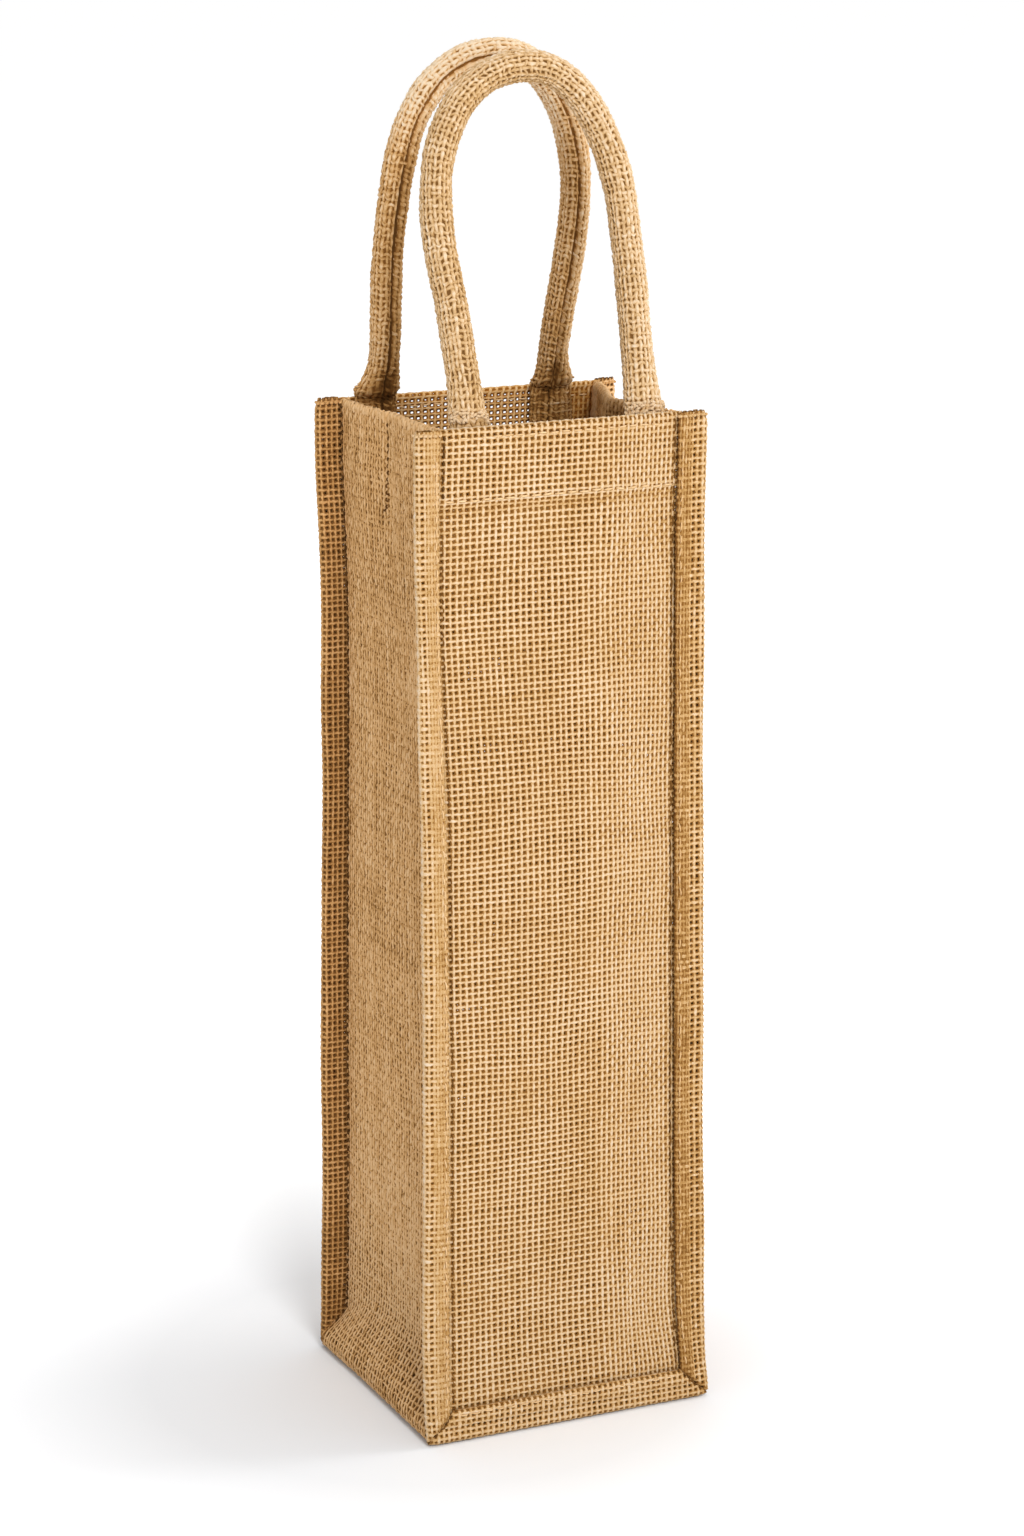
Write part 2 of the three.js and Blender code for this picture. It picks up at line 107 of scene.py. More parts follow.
# panel, x, z, wide, high, outward
SWELLS = [
    (-1, -10, 190, 30, 95, 1.6),
    (-1, 24, 92, 22, 60, -1.3),
    (-1, -22, 285, 20, 30, -0.8),
    (1, 6, 150, 32, 90, 2.2),
    (1, -20, 262, 20, 40, -1.5),
]
# side, y, z, deep, high, outward
SIDE_SWELLS = [
    (-1, 4, 165, 26, 85, 1.6),
    (-1, 22, 318, 14, 30, 1.4),
    (-1, -8, 250, 20, 38, -1.2),
    (1, 0, 150, 28, 80, -2.4),
]


def clamp01(t):
    return np.clip(t, 0.0, 1.0)


def smooth(t):
    t = clamp01(t)
    return t * t * (3 - 2 * t)


def mix(a, b, t):
    return a + (b - a) * t


def bell(d, reach):
    return np.exp(-((d / reach) ** 2))


def curve_at(xs, ys, x):
    """A smooth curve through a short table, level past its ends."""
    xs, ys = np.asarray(xs, float), np.asarray(ys, float)
    slope = np.gradient(ys, xs)
    x = np.clip(x, xs[0], xs[-1])
    i = np.clip(np.searchsorted(xs, x, side="right") - 1, 0, len(xs) - 2)
    w = xs[i + 1] - xs[i]
    t = (x - xs[i]) / w
    t2, t3 = t * t, t * t * t
    return (
        (2 * t3 - 3 * t2 + 1) * ys[i]
        + (t3 - 2 * t2 + t) * w * slope[i]
        + (3 * t2 - 2 * t3) * ys[i + 1]
        + (t3 - t2) * w * slope[i + 1]
    )


def across(x, l_tip, l_seam, r_seam, r_tip):
    left = mix(l_seam, l_tip, (-SEAM_X - x) / FLANGE)
    right = mix(r_seam, r_tip, (x - SEAM_X) / FLANGE)
    middle = mix(l_seam, r_seam, (x + SEAM_X) / (2 * SEAM_X))
    return np.where(x < -SEAM_X, left, np.where(x > SEAM_X, right, middle))


def settle(x, y, z):
    """Sets points of the straight bag into the standing, slightly slack bag."""
    back = (y + HALF_D) / (2 * HALF_D)
    right = (x + HALF_W) / (2 * HALF_W)
    c = {k: curve_at(SET_Z, v, z) for k, v in SET.items()}
    dx = mix(
        across(x, c["flTip"], c["flSeam"], c["frSeam"], c["frTip"]),
        across(x, c["blTip"], c["blSeam"], c["brSeam"], c["brTip"]),
        back,
    )
    foot = curve_at(*SPLAY, z)
    dy = foot * mix(
        mix(FOOT_OUT["fl"], FOOT_OUT["fr"], right),
        mix(FOOT_OUT["bl"], FOOT_OUT["br"], right),
        back,
    )
    turned = clamp01((x - SEAM_X) / FLANGE) * clamp01(back)
    dy = dy + BACK_TURN * turned * smooth(1 - (HEIGHT - z) / TURN_FROM)
    for panel, sx, sz, wide, high, out in SWELLS:
        near = clamp01(1 - back if panel < 0 else back)
        dy = dy + panel * out * near * bell(x - sx, wide) * bell(z - sz, high)
    dz = (np.maximum(z, 0) / HEIGHT) ** 4 * mix(
        mix(RIM_RISE["fl"], RIM_RISE["fr"], right),
        mix(RIM_RISE["bl"], RIM_RISE["br"], right),
        back,
    )
    return np.stack([x + dx, y + dy, np.maximum(z + dz, 0.02)], -1) + CENTRE


REACH = HALF_W - 1.1 - SEAM_X


def swing(y, z):
    """How far a side has swung out over the floor fold, less where the seams hold it."""
    high = mix(FLARE, SEAM_FLARE, clamp01(np.abs(y) / 43.9) ** 2)
    return REACH * smooth((high + FLOOR_FOLD - z) / high)


def side_point(x, y, z, in_base):
    """The same for the gusset strip, with its creases and swells."""
    side = np.sign(x)
    outer = smooth((np.abs(x) - 30) / 8)
    mid = clamp01(1 - np.abs(y) / HALF_D)
    fold = np.where(
        x > 0,
        -FOLD_IN * mid**1.4 * smooth((z - 205) / 130),
        CREASE_IN * mid ** (4 * 1.4) * smooth((z - 290) / 30),
    )
    x = x + np.where(in_base | (z < FLOOR_FOLD) | (z > 60), 0.0, side * (swing(y, z) - swing(0.0, z)))
    dx = fold * outer
    upright = smooth((z - 14) / 50) * outer
    for s, sy, sz, deep, high, out in SIDE_SWELLS:
        dx = dx + np.where(side == s, 1.0, 0.0) * s * out * upright * bell(
            y - sy, deep
        ) * bell(z - sz, high) * smooth((HALF_D - 4 - np.abs(y)) / 12)
    pull = smooth((47 - np.abs(x)) / 24) * clamp01(
        (np.abs(y) - 22) / (HALF_D - 24.1)
    ) ** 2
    dz = np.where(in_base, BASE_RISE * pull, 0.0)
    return settle(x + dx, y, z + dz)


# ------------------------------------------------------------------ noise
def noise2(rng, n, m, wide, high):
    """A smooth random field of n by m places, of about unit spread."""
    gn, gm = int(n / wide) + 4, int(m / high) + 4
    g = rng.normal(size=(gn, gm))
    a, b = np.arange(n) / wide + rng.random(), np.arange(m) / high + rng.random()
    i, j = a.astype(int), b.astype(int)
    s, t = smooth(a - i)[:, None], smooth(b - j)[None, :]
    return (
        g[np.ix_(i, j)] * (1 - s) * (1 - t)
        + g[np.ix_(i + 1, j)] * s * (1 - t)
        + g[np.ix_(i, j + 1)] * (1 - s) * t
        + g[np.ix_(i + 1, j + 1)] * s * t
    ) * 1.25


def slubs(rng, n, m, share):
    """Short thick places along yarns: n yarns of m crossings."""
    out = np.zeros((n, m))
    for _ in range(int(n * m * share)):
        i, j, reach = rng.integers(n), rng.integers(m), rng.uniform(1.2, 3.5)
        k = np.arange(max(0, j - 9), min(m, j + 10))
        out[i, k] = np.maximum(out[i, k], rng.uniform(0.5, 1.0) * bell(k - j, reach))
    return out


# ------------------------------------------------------------------ weaving
def halves(a):
    """The values at crossings and halfway between them, and half a step past each end."""
    out = np.empty(a.shape[:-1] + (2 * a.shape[-1] + 1,))
    out[..., 1::2] = a
    out[..., 2:-1:2] = (a[..., :-1] + a[..., 1:]) / 2
    out[..., 0] = 1.5 * a[..., 0] - 0.5 * a[..., 1]
    out[..., -1] = 1.5 * a[..., -1] - 0.5 * a[..., -2]
    return out


class Part:
    """Points, faces and yarn coordinates, gathered until one mesh is made of them."""

    def __init__(self):
        self.points, self.quads, self.tris = [], [], []
        self.yarn, self.tone, self.painted_shading = [], [], []
        self.count = 0
        self.yarns = 0

    def add(self, points, quads, tris, yarn, tone, painted_shading):
        self.points.append(points)
        self.yarn.append(yarn)
        self.tone.append(tone)
        self.painted_shading.append(painted_shading)
        if len(quads):
            self.quads.append(quads + self.count)
        if len(tris):
            self.tris.append(tris + self.count)
        self.count += len(points)


# Sections of a yarn, each point as (place across, height, paleness): the paleness is painted light, a highlight on the
# crown and shade down the sides.
ROOF = ((-1.0, -0.42, -3.6), (0.0, 0.52, 2.6), (1.0, -0.42, -3.6))
BARREL = ((-1.0, -0.48, -3.8), (-0.33, 0.48, 0.8), (0.33, 0.48, 0.8), (1.0, -0.48, -3.8))


def strands(part, place, cu, cv, half, hc, thick, sideways, section, tone, height_shading, side_shade, keep):
    """K yarns of S points each. cu, cv and hc are the middle of each yarn in cloth coordinates."""
    k, s = cu.shape
    across, height, pale = np.array(section).T
    n = len(across)
    u = cu[..., None] + (half[..., None] if sideways == "u" else 0) * across
    v = cv[..., None] + (half[..., None] if sideways == "v" else 0) * across
    u, v = np.broadcast_arrays(u, v)
    h = hc[..., None] + thick[..., None] * height
    index = np.arange(k * s * n).reshape(k, s, n)
    quads = np.stack(
        [index[:, :-1, :-1], index[:, 1:, :-1], index[:, 1:, 1:], index[:, :-1, 1:]], -1
    ).reshape(-1, 4)
    u, v, h = u.ravel(), v.ravel(), h.ravel()
    if keep is not None:
        u, v, gone = keep(u, v)
        quads = quads[~gone[quads].all(1)]
    points = place(u, v, h)
    # Faces look away from the cloth's middle: tested on a sample of them.
    q = quads[:: max(1, len(quads) // 3000)]
    p = points[q]
    normal = np.cross(p[:, 2] - p[:, 0], p[:, 3] - p[:, 1])
    up = place(u[q[:, 0]], v[q[:, 0]], h[q[:, 0]] + 0.5) - p[:, 0]
    if (normal * up).sum() < 0:
        quads = quads[:, ::-1]
    run = np.hypot(np.diff(cu, axis=1), np.diff(cv, axis=1))
    along = np.concatenate([np.zeros((k, 1)), np.cumsum(run, axis=1)], axis=1)
    ids = 7.31 * (part.yarns + np.arange(k))
    part.yarns += k
    yarn = np.stack(
        [
            np.repeat(along[..., None], n, 2),
            np.broadcast_to(across * 0.75, (k, s, n)),
            np.broadcast_to(ids[:, None, None], (k, s, n)),
        ],
        -1,
    ).reshape(-1, 3)
    # Painted highlight on the crown and painted shade down the sides, the shade scaled by relief.
    painted_shading = (np.where(pale < 0, side_shade[..., None], 1.0) * pale).ravel()
    # Painted light by height: raised crossings paler, sunken ones darker.
    tones = np.repeat((tone + height_shading * hc)[..., None], n, 2).ravel()
    part.add(points, quads, np.zeros((0, 3), int), yarn, tones, painted_shading)


def weave(
    part,
    place,
    us,
    vs,
    seed,
    fill=(0.80, 0.80),
    pinch=(1.0, 1.0),
    thick=0.60,
    crimp=0.17,
    drift=0.3,
    wander=0.10,
    jitter=(0.03, 0.03),
    rough=1.0,
    slub=0.004,
    section=ROOF,
    phase=0,
    keep=None,
    tone=0.0,
    mottle=0.35,
    warp_up=0.0,
    calm=None,
    fleck=0.0,
    zig=0.0,
    side_shade=1.0,
    warp_highlight=0.0,
    bead=0.45,
    height_shading=9.5,
):
    """Plain weave on a cloth surface, with warp yarns at us and weft yarns at vs.

    fill is how much of its pitch a warp and a weft yarn takes at a crossing,
    pinch how wide it is between crossings against that. drift and wander move
    whole groups of yarns and single yarns, jitter each crossing (across, along).
    fill, pinch and tone can be functions of the place. tone of one unit is a
    just visible step, upwards paler. calm is how much of the drift is left at a
    place, fleck how much single crossings differ in tone, zig how far the weft
    sways between neighbouring warps, relief how much painted shade darkens the
    yarns' sides, bead how much of that is left at a crossing, lift how much paler
    each millimetre of height is, as painted light, and checks how much paler warp
    yarns are than weft yarns, as painted light from the side.
    """
    rng = np.random.default_rng(seed)
    us, vs = np.asarray(us, float), np.asarray(vs, float)
    n, m = len(us), len(vs)
    pu, pv = np.gradient(us), np.gradient(vs)
    still = 1.0 if calm is None else calm(us[:, None], vs[None, :])
    cu = us[:, None] + still * (
        drift * noise2(rng, n, m, 9.0, 15.0) + wander * noise2(rng, n, m, 1.0, 9.0)
    )
    cv = vs[None, :] + still * (
        drift * noise2(rng, n, m, 15.0, 9.0) + wander * noise2(rng, n, m, 9.0, 1.0)
    )
    cu = cu + rng.normal(size=(n, m)) * jitter[0]
    cv = cv + rng.normal(size=(n, m)) * jitter[1] + zig * (1 - 2 * (np.arange(n)[:, None] % 2))
    over = (np.add.outer(np.arange(n), np.arange(m)) + phase) % 2 == 0
    height = np.where(over, 1.0, -1.0) * crimp * (1 + 0.15 * rough * rng.normal(size=(n, m)))

    def field(value, transpose):
        out = np.broadcast_to(value(cu, cv) if callable(value) else value, (n, m))
        return out.T if transpose else out

    def run(transpose, centre_u, centre_v, pitch, h, sideways, k, l):
        f, squeeze, t = (
            field(fill[int(transpose)], transpose),
            field(pinch[int(transpose)], transpose),
            field(tone, transpose),
        )
        # How much painted shade darkens the yarns' sides, less at the crossings.
        sides = halves(field(side_shade, transpose))
        sides[:, 1::2] *= bead
        # Painted light from the side: warp yarns paler, weft yarns darker.
        t = t + field(warp_highlight, transpose) * (-0.5 if transpose else 0.5)
        each = 1 + 0.05 * rough * rng.normal(size=(k, 1)) + 0.05 * rough * noise2(rng, k, l, 1.0, 5.0)
        knots = slubs(rng, k, l, slub)
        w = f * pitch[:, None] * np.clip(each, 0.75, 1.25) + 0.5 * knots
        w, squeeze = halves(w), halves(squeeze)
        w[:, 0::2] *= squeeze[:, 0::2] * (1 + 0.05 * rough * rng.normal(size=(k, l + 1)))
        hh = np.zeros((k, 2 * l + 1))
        hh[:, 1::2] = h
        hh += warp_up * (-1 if transpose else 1)
        t = t + 0.3 * rough * rng.normal(size=(k, 1)) + fleck * rng.normal(size=(k, l)) + mottle * (
            noise2(rng, k, l, 1.0, 6.0) + noise2(rng, k, l, 6.0, 8.0)
        )
        t = halves(t) + mottle * rng.normal(size=(k, 2 * l + 1))
        th = thick * (1 + 0.06 * rough * rng.normal(size=w.shape)) + 0.12 * halves(knots)
        strands(
            part, place, halves(centre_u), halves(centre_v), w / 2, hh, th,
            sideways, section, t, height_shading, sides, keep,
        )

    run(False, cu, cv, pu, height, "u", n, m)
    run(True, cu.T, cv.T, pv, -height.T, "v", m, n)


def steps(a, b, pitch):
    """Places from a to b, spaced by pitch, a number or a function of the place."""
    out, x = [], a
    while x < b + 1e-9:
        out.append(x)
        x += pitch(x) if callable(pitch) else pitch
    out = np.array(out)
    return a + (out - a) * ((b - a) / (out[-1] - a))


def stitches(part, place, a, b, seed, radius=0.33, rise=0.30, tone=1.0, loose=0.12):
    """Short stitches of thread from places a to b, (n, 2) each, that dive into the cloth."""
    a, b = np.asarray(a, float), np.asarray(b, float)
    rng = np.random.default_rng(seed)
    a = a + rng.normal(size=a.shape) * loose
    b = b + rng.normal(size=b.shape) * loose
    count, rings, sides = len(a), 5, 5
    t = np.linspace(0, 1, rings)
    uv = a[:, None] + (b - a)[:, None] * t[None, :, None]
    h = np.broadcast_to(0.28 + rise * np.sin(math.pi * t) ** 0.7 - 0.45 * (np.abs(2 * t - 1) ** 3), (count, rings))
    u, v, h = uv[..., 0].ravel(), uv[..., 1].ravel(), h.ravel()
    p = place(u, v, h).reshape(count, rings, 3)
    up = place(u, v, h + 0.3).reshape(count, rings, 3) - p
    along = np.gradient(p, axis=1)
    along /= np.linalg.norm(along, axis=2, keepdims=True) + 1e-9
    side = np.cross(along, up)
    side /= np.linalg.norm(side, axis=2, keepdims=True) + 1e-9
    up = np.cross(side, along)
    angle = np.arange(sides) * 2 * math.pi / sides
    size = radius * np.array([0.6, 1.0, 1.08, 1.0, 0.6])
    ring = (
        p[:, :, None]
        + size[None, :, None, None]
        * (np.cos(angle)[None, None, :, None] * side[:, :, None] + np.sin(angle)[None, None, :, None] * up[:, :, None])
    )
    index = np.arange(count * rings * sides).reshape(count, rings, sides)
    nxt = np.roll(index, -1, axis=2)
    quads = np.stack([index[:, :-1], nxt[:, :-1], nxt[:, 1:], index[:, 1:]], -1).reshape(-1, 4)
    caps = np.concatenate(
        [
            np.stack([index[:, 0, 0], index[:, 0, i + 1], index[:, 0, i]], -1)
            for i in range(1, sides - 1)
        ]
        + [
            np.stack([index[:, -1, 0], index[:, -1, i], index[:, -1, i + 1]], -1)
            for i in range(1, sides - 1)
        ]
    )
    q = ring.reshape(-1, 3)[quads]
    normal = np.cross(q[:, 2] - q[:, 0], q[:, 3] - q[:, 1])
    middle = np.repeat(p.mean(1), (rings - 1) * sides, axis=0)
    if (normal * (q.mean(1) - middle)).sum() < 0:
        quads, caps = quads[:, ::-1], caps[:, ::-1]
    length = np.broadcast_to((t * 3.5)[None, :, None], index.shape)
    yarn = np.stack(
        [length, np.broadcast_to(np.cos(angle), index.shape), np.broadcast_to((np.arange(count) * 3.7)[:, None, None], index.shape)],
        -1,
    )
    tones = np.broadcast_to((tone + 0.5 * rng.normal(size=count))[:, None, None], index.shape)
    # Painted highlight on the stitch's upper side, painted shade under it.
    painted_shading = np.broadcast_to(0.5 * np.sin(angle), index.shape)
    part.add(ring.reshape(-1, 3), quads, caps, yarn.reshape(-1, 3), tones.ravel(), painted_shading.ravel())


def row_of(along, start, end, stitch, gap, across=0.0, vertical=True):
    """Ends of the stitches in a straight seam, as places in the cloth."""
    at = np.arange(start, end - stitch, stitch + gap)
    a = np.stack([np.full(at.shape, along), at], -1)
    b = np.stack([np.full(at.shape, along + across), at + stitch], -1)
    return (a, b) if vertical else (a[:, ::-1], b[:, ::-1])


# ------------------------------------------------------------------ materials
def jute(name, dark, mid, pale, base=0.46, crown_shading=0.27, bump=0.00006):
    """Dry bast fibre, streaked lengthwise: pale on the crowns and golden brown between, as painted highlight and
    painted shade.
    """
    mat = bpy.data.materials.new(name)
    mat.use_nodes = True
    nt = mat.node_tree
    nt.nodes.clear()

    def node(kind, **values):
        made = nt.nodes.new(kind)
        for key, value in values.items():
            setattr(made, key, value)
        return made

    def link(a, b):
        nt.links.new(a, b)

    def maths(op, a, b):
        made = node("ShaderNodeMath", operation=op)
        for socket, value in zip(made.inputs, (a, b)):
            if isinstance(value, bpy.types.NodeSocket):
                link(value, socket)
            else:
                socket.default_value = value
        return made.outputs[0]

    def centred(socket, amount):
        return maths("MULTIPLY", maths("SUBTRACT", socket, 0.5), amount)

    out = node("ShaderNodeOutputMaterial")
    bsdf = node("ShaderNodeBsdfPrincipled")
    link(bsdf.outputs[0], out.inputs[0])
    yarn = node("ShaderNodeAttribute", attribute_name="yarn")
    tone = node("ShaderNodeAttribute", attribute_name="tone")
    painted_shading = node("ShaderNodeAttribute", attribute_name="painted_shading")

    # Fibres: long thin streaks along the yarn, with a slight twist.
    stretch = node("ShaderNodeMapping")
    stretch.inputs["Scale"].default_value = (0.55, 5.5, 1.0)
    stretch.inputs["Rotation"].default_value = (0, 0, 0.32)
    link(yarn.outputs["Vector"], stretch.inputs["Vector"])
    fibre = node("ShaderNodeTexNoise")
    fibre.inputs["Scale"].default_value = 1.0
    fibre.inputs["Detail"].default_value = 3.0
    fibre.inputs["Roughness"].default_value = 0.62
    link(stretch.outputs[0], fibre.inputs["Vector"])
    # Broad patches, of batches of yarn and of handling.
    where = node("ShaderNodeNewGeometry")
    patch = node("ShaderNodeTexNoise")
    patch.inputs["Scale"].default_value = 22.0
    patch.inputs["Detail"].default_value = 2.0
    link(where.outputs["Position"], patch.inputs["Vector"])
    fuzz = node("ShaderNodeTexNoise")
    fuzz.inputs["Scale"].default_value = 2600.0
    fuzz.inputs["Detail"].default_value = 2.0
    link(where.outputs["Position"], fuzz.inputs["Vector"])

    # Painted light and shade from the yarn's shape (the attribute, capped at 0.6) join the tone and the fibre streaks.
    level = maths(
        "ADD",
        maths("ADD", centred(fibre.outputs["Fac"], 0.75), maths("MULTIPLY", tone.outputs["Fac"], 0.085)),
        maths("ADD", maths("MULTIPLY", maths("MINIMUM", painted_shading.outputs["Fac"], 0.6), crown_shading), centred(patch.outputs["Fac"], 0.12)),
    )
    level = maths("ADD", maths("ADD", level, centred(fuzz.outputs["Fac"], 0.3)), base)
    ramp = node("ShaderNodeValToRGB")
    ramp.color_ramp.interpolation = "B_SPLINE"
    stops = ramp.color_ramp.elements
    stops[0].position, stops[0].color = 0.0, (*dark, 1)
    stops[1].position, stops[1].color = 1.0, (*pale, 1)
    middle = stops.new(0.5)
    middle.color = (*mid, 1)
    link(level, ramp.inputs["Fac"])
    # Painted shade: deep between two layers, where the tone is lowest, it is almost black.
    gap = node("ShaderNodeMapRange")
    for key, value in (("From Min", -10.0), ("From Max", -5.0), ("To Min", 0.45), ("To Max", 1.0)):
        gap.inputs[key].default_value = value
    link(tone.outputs["Fac"], gap.inputs["Value"])
    shade = node("ShaderNodeVectorMath", operation="SCALE")
    link(ramp.outputs["Color"], shade.inputs[0])
    link(gap.outputs["Result"], shade.inputs["Scale"])
    link(shade.outputs["Vector"], bsdf.inputs["Base Color"])
    bsdf.inputs["Roughness"].default_value = 0.9
    bsdf.inputs["Specular IOR Level"].default_value = 0.12
    rough = node("ShaderNodeBump")
    rough.inputs["Strength"].default_value = 0.9
    rough.inputs["Distance"].default_value = bump
    link(maths("ADD", fibre.outputs["Fac"], maths("MULTIPLY", fuzz.outputs["Fac"], 0.5)), rough.inputs["Height"])
    link(rough.outputs[0], bsdf.inputs["Normal"])
    return mat


FRONT = jute("jute_front", (0.15, 0.046, 0.002), (0.605, 0.350, 0.108), (0.72, 0.615, 0.490))
BACK = jute("jute_back", (0.19, 0.052, 0.002), (0.67, 0.340, 0.070), (0.78, 0.61, 0.40))
# The sides' copy of jute is darker and more orange: painted shade for the gussets and the back's wraps, turned from
# the light.
SIDE_SHADED = jute("jute_side", (0.085, 0.027, 0.003), (0.590, 0.308, 0.095), (0.73, 0.495, 0.275), base=0.50)
HANDLE = jute("jute_handle", (0.10, 0.032, 0.003), (0.575, 0.337, 0.118), (0.73, 0.615, 0.475))
# The back handle's copy is more saturated: painted shade for the loop in the front loop's shadow.
HANDLE_BACK_SHADED = jute("jute_handle_back_shaded", (0.12, 0.036, 0.003), (0.60, 0.320, 0.092), (0.74, 0.625, 0.465))
THREAD = jute("jute_thread", (0.42, 0.22, 0.075), (0.68, 0.44, 0.21), (0.84, 0.64, 0.40), crown_shading=0.12)


def finish_mesh(name, part, mat):
    """One smooth mesh object from a Part, in metres, with only the points that its faces use."""
    points = np.concatenate(part.points)
    quads = np.concatenate(part.quads) if part.quads else np.zeros((0, 4), int)
    tris = np.concatenate(part.tris) if part.tris else np.zeros((0, 3), int)
    used, inverse = np.unique(np.concatenate([quads.ravel(), tris.ravel()]), return_inverse=True)
    mesh = bpy.data.meshes.new(name)
    mesh.vertices.add(len(used))
    mesh.vertices.foreach_set("co", (points[used] / 1000.0).astype(np.float32).ravel())
    mesh.loops.add(len(inverse))
    mesh.loops.foreach_set("vertex_index", inverse.astype(np.int32))
    starts = np.concatenate([np.arange(len(quads)) * 4, len(quads) * 4 + np.arange(len(tris)) * 3])
    mesh.polygons.add(len(starts))
    mesh.polygons.foreach_set("loop_start", starts.astype(np.int32))
    mesh.polygons.foreach_set("use_smooth", np.ones(len(starts), bool))
    mesh.update(calc_edges=True)
    for label, kind, key, values in (
        ("yarn", "FLOAT_VECTOR", "vector", part.yarn),
        ("tone", "FLOAT", "value", part.tone),
        ("painted_shading", "FLOAT", "value", part.painted_shading),
    ):
        made = mesh.attributes.new(label, kind, "POINT")
        made.data.foreach_set(key, np.concatenate(values)[used].astype(np.float32).ravel())
    mesh.materials.append(mat)
    obj = bpy.data.objects.new(name, mesh)
    bpy.context.scene.collection.objects.link(obj)
    print(f"{name}: {2 * len(quads) + len(tris)} triangles")
    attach(obj, "root")
    return obj


# ------------------------------------------------------------------ camera
FOCAL_PX, DISTANCE = 3641.642, 1.259625
azimuth, elevation = math.radians(-23.5), math.radians(13.447)
towards = Vector(
    (
        math.sin(azimuth) * math.cos(elevation),
        -math.cos(azimuth) * math.cos(elevation),
        math.sin(elevation),
    )
)
rightwards = Vector((math.cos(azimuth), math.sin(azimuth), 0))
target = rightwards * 0.000633 + Vector((0, 0, 0.223345)) + Vector(CENTRE / 1000)
camera = bpy.data.objects.new("camera", bpy.data.cameras.new("camera"))
bpy.context.scene.collection.objects.link(camera)
camera.data.sensor_fit = "VERTICAL"
camera.data.sensor_height = 24.0
camera.data.lens = FOCAL_PX / 1536 * 24.0
camera.data.clip_start, camera.data.clip_end = 0.05, 60
camera.rotation_mode = "QUATERNION"
camera.location = target + towards * DISTANCE
camera.rotation_quaternion = (-towards).to_track_quat("-Z", "Y")
bpy.context.scene.camera = camera

# ------------------------------------------------------------------ panels
FOLD_R = 0.75  # middle of the cloth round the rim
PANEL_FOOT = 7.5
RIM_Z = HEIGHT - 2 * FOLD_R + 0.15
HEM_Z = HEIGHT - HEM
PANEL_RISE = RIM_Z - PANEL_FOOT
PANEL_RIM = PANEL_RISE + math.pi * FOLD_R / 2
PANEL_LAST = PANEL_RISE + math.pi * FOLD_R + HEM - 2 * FOLD_R
ROW = 2.09


def panel_cloth(panel):
    def place(u, v, h):
        rise = np.minimum(v, PANEL_RISE)
        turn = np.clip((v - PANEL_RISE) / FOLD_R, 0, math.pi)
        down = np.maximum(v - PANEL_RISE - math.pi * FOLD_R, 0)
        z = PANEL_FOOT + rise + FOLD_R * np.sin(turn) - down + h * np.sin(turn)
        out = (1 - turn / math.pi) * (
            0.30 * smooth((z - HEM_Z + 0.6) / 1.6)
            + 0.28 * bell(z - HEM_Z - 1.0, 1.3)
            - 0.30 * bell(z - HEM_Z + 1.9, 1.0)
            - 0.55 * smooth((np.abs(u) - np.where(u < 0, 42.3, 40.6)) / 1.2)
            - 0.25 * smooth((13.6 - z) / 1.4)
        )
        inset = CLOTH / 2 + FOLD_R * (1 - np.cos(turn)) - h * np.cos(turn) - out
        x = np.where(down > 0, np.clip(u, -42.2, 42.2), u)
        if panel > 0:
            x = x - 0.65 * smooth(down / 1.5)
        return settle(x, panel * (HALF_D - inset), z)

    return place


def panel_rows(offset):
    """Rows of weft from the foot over the rim to the hem's end, closer at the hem's seam."""
    v, below = PANEL_RIM, []
    while v > 1.0:
        below.append(v)
        v -= ROW - 0.55 * float(bell(v + PANEL_FOOT - HEM_Z - 0.5, 2.6))
    above = PANEL_RIM + np.arange(1, 14) * ROW - offset
    return np.concatenate([below[::-1], above[above < PANEL_LAST - 0.4]])


def warp_pitch(x):
    return 2.22 - 0.60 * float(smooth((x - 8) / 16))


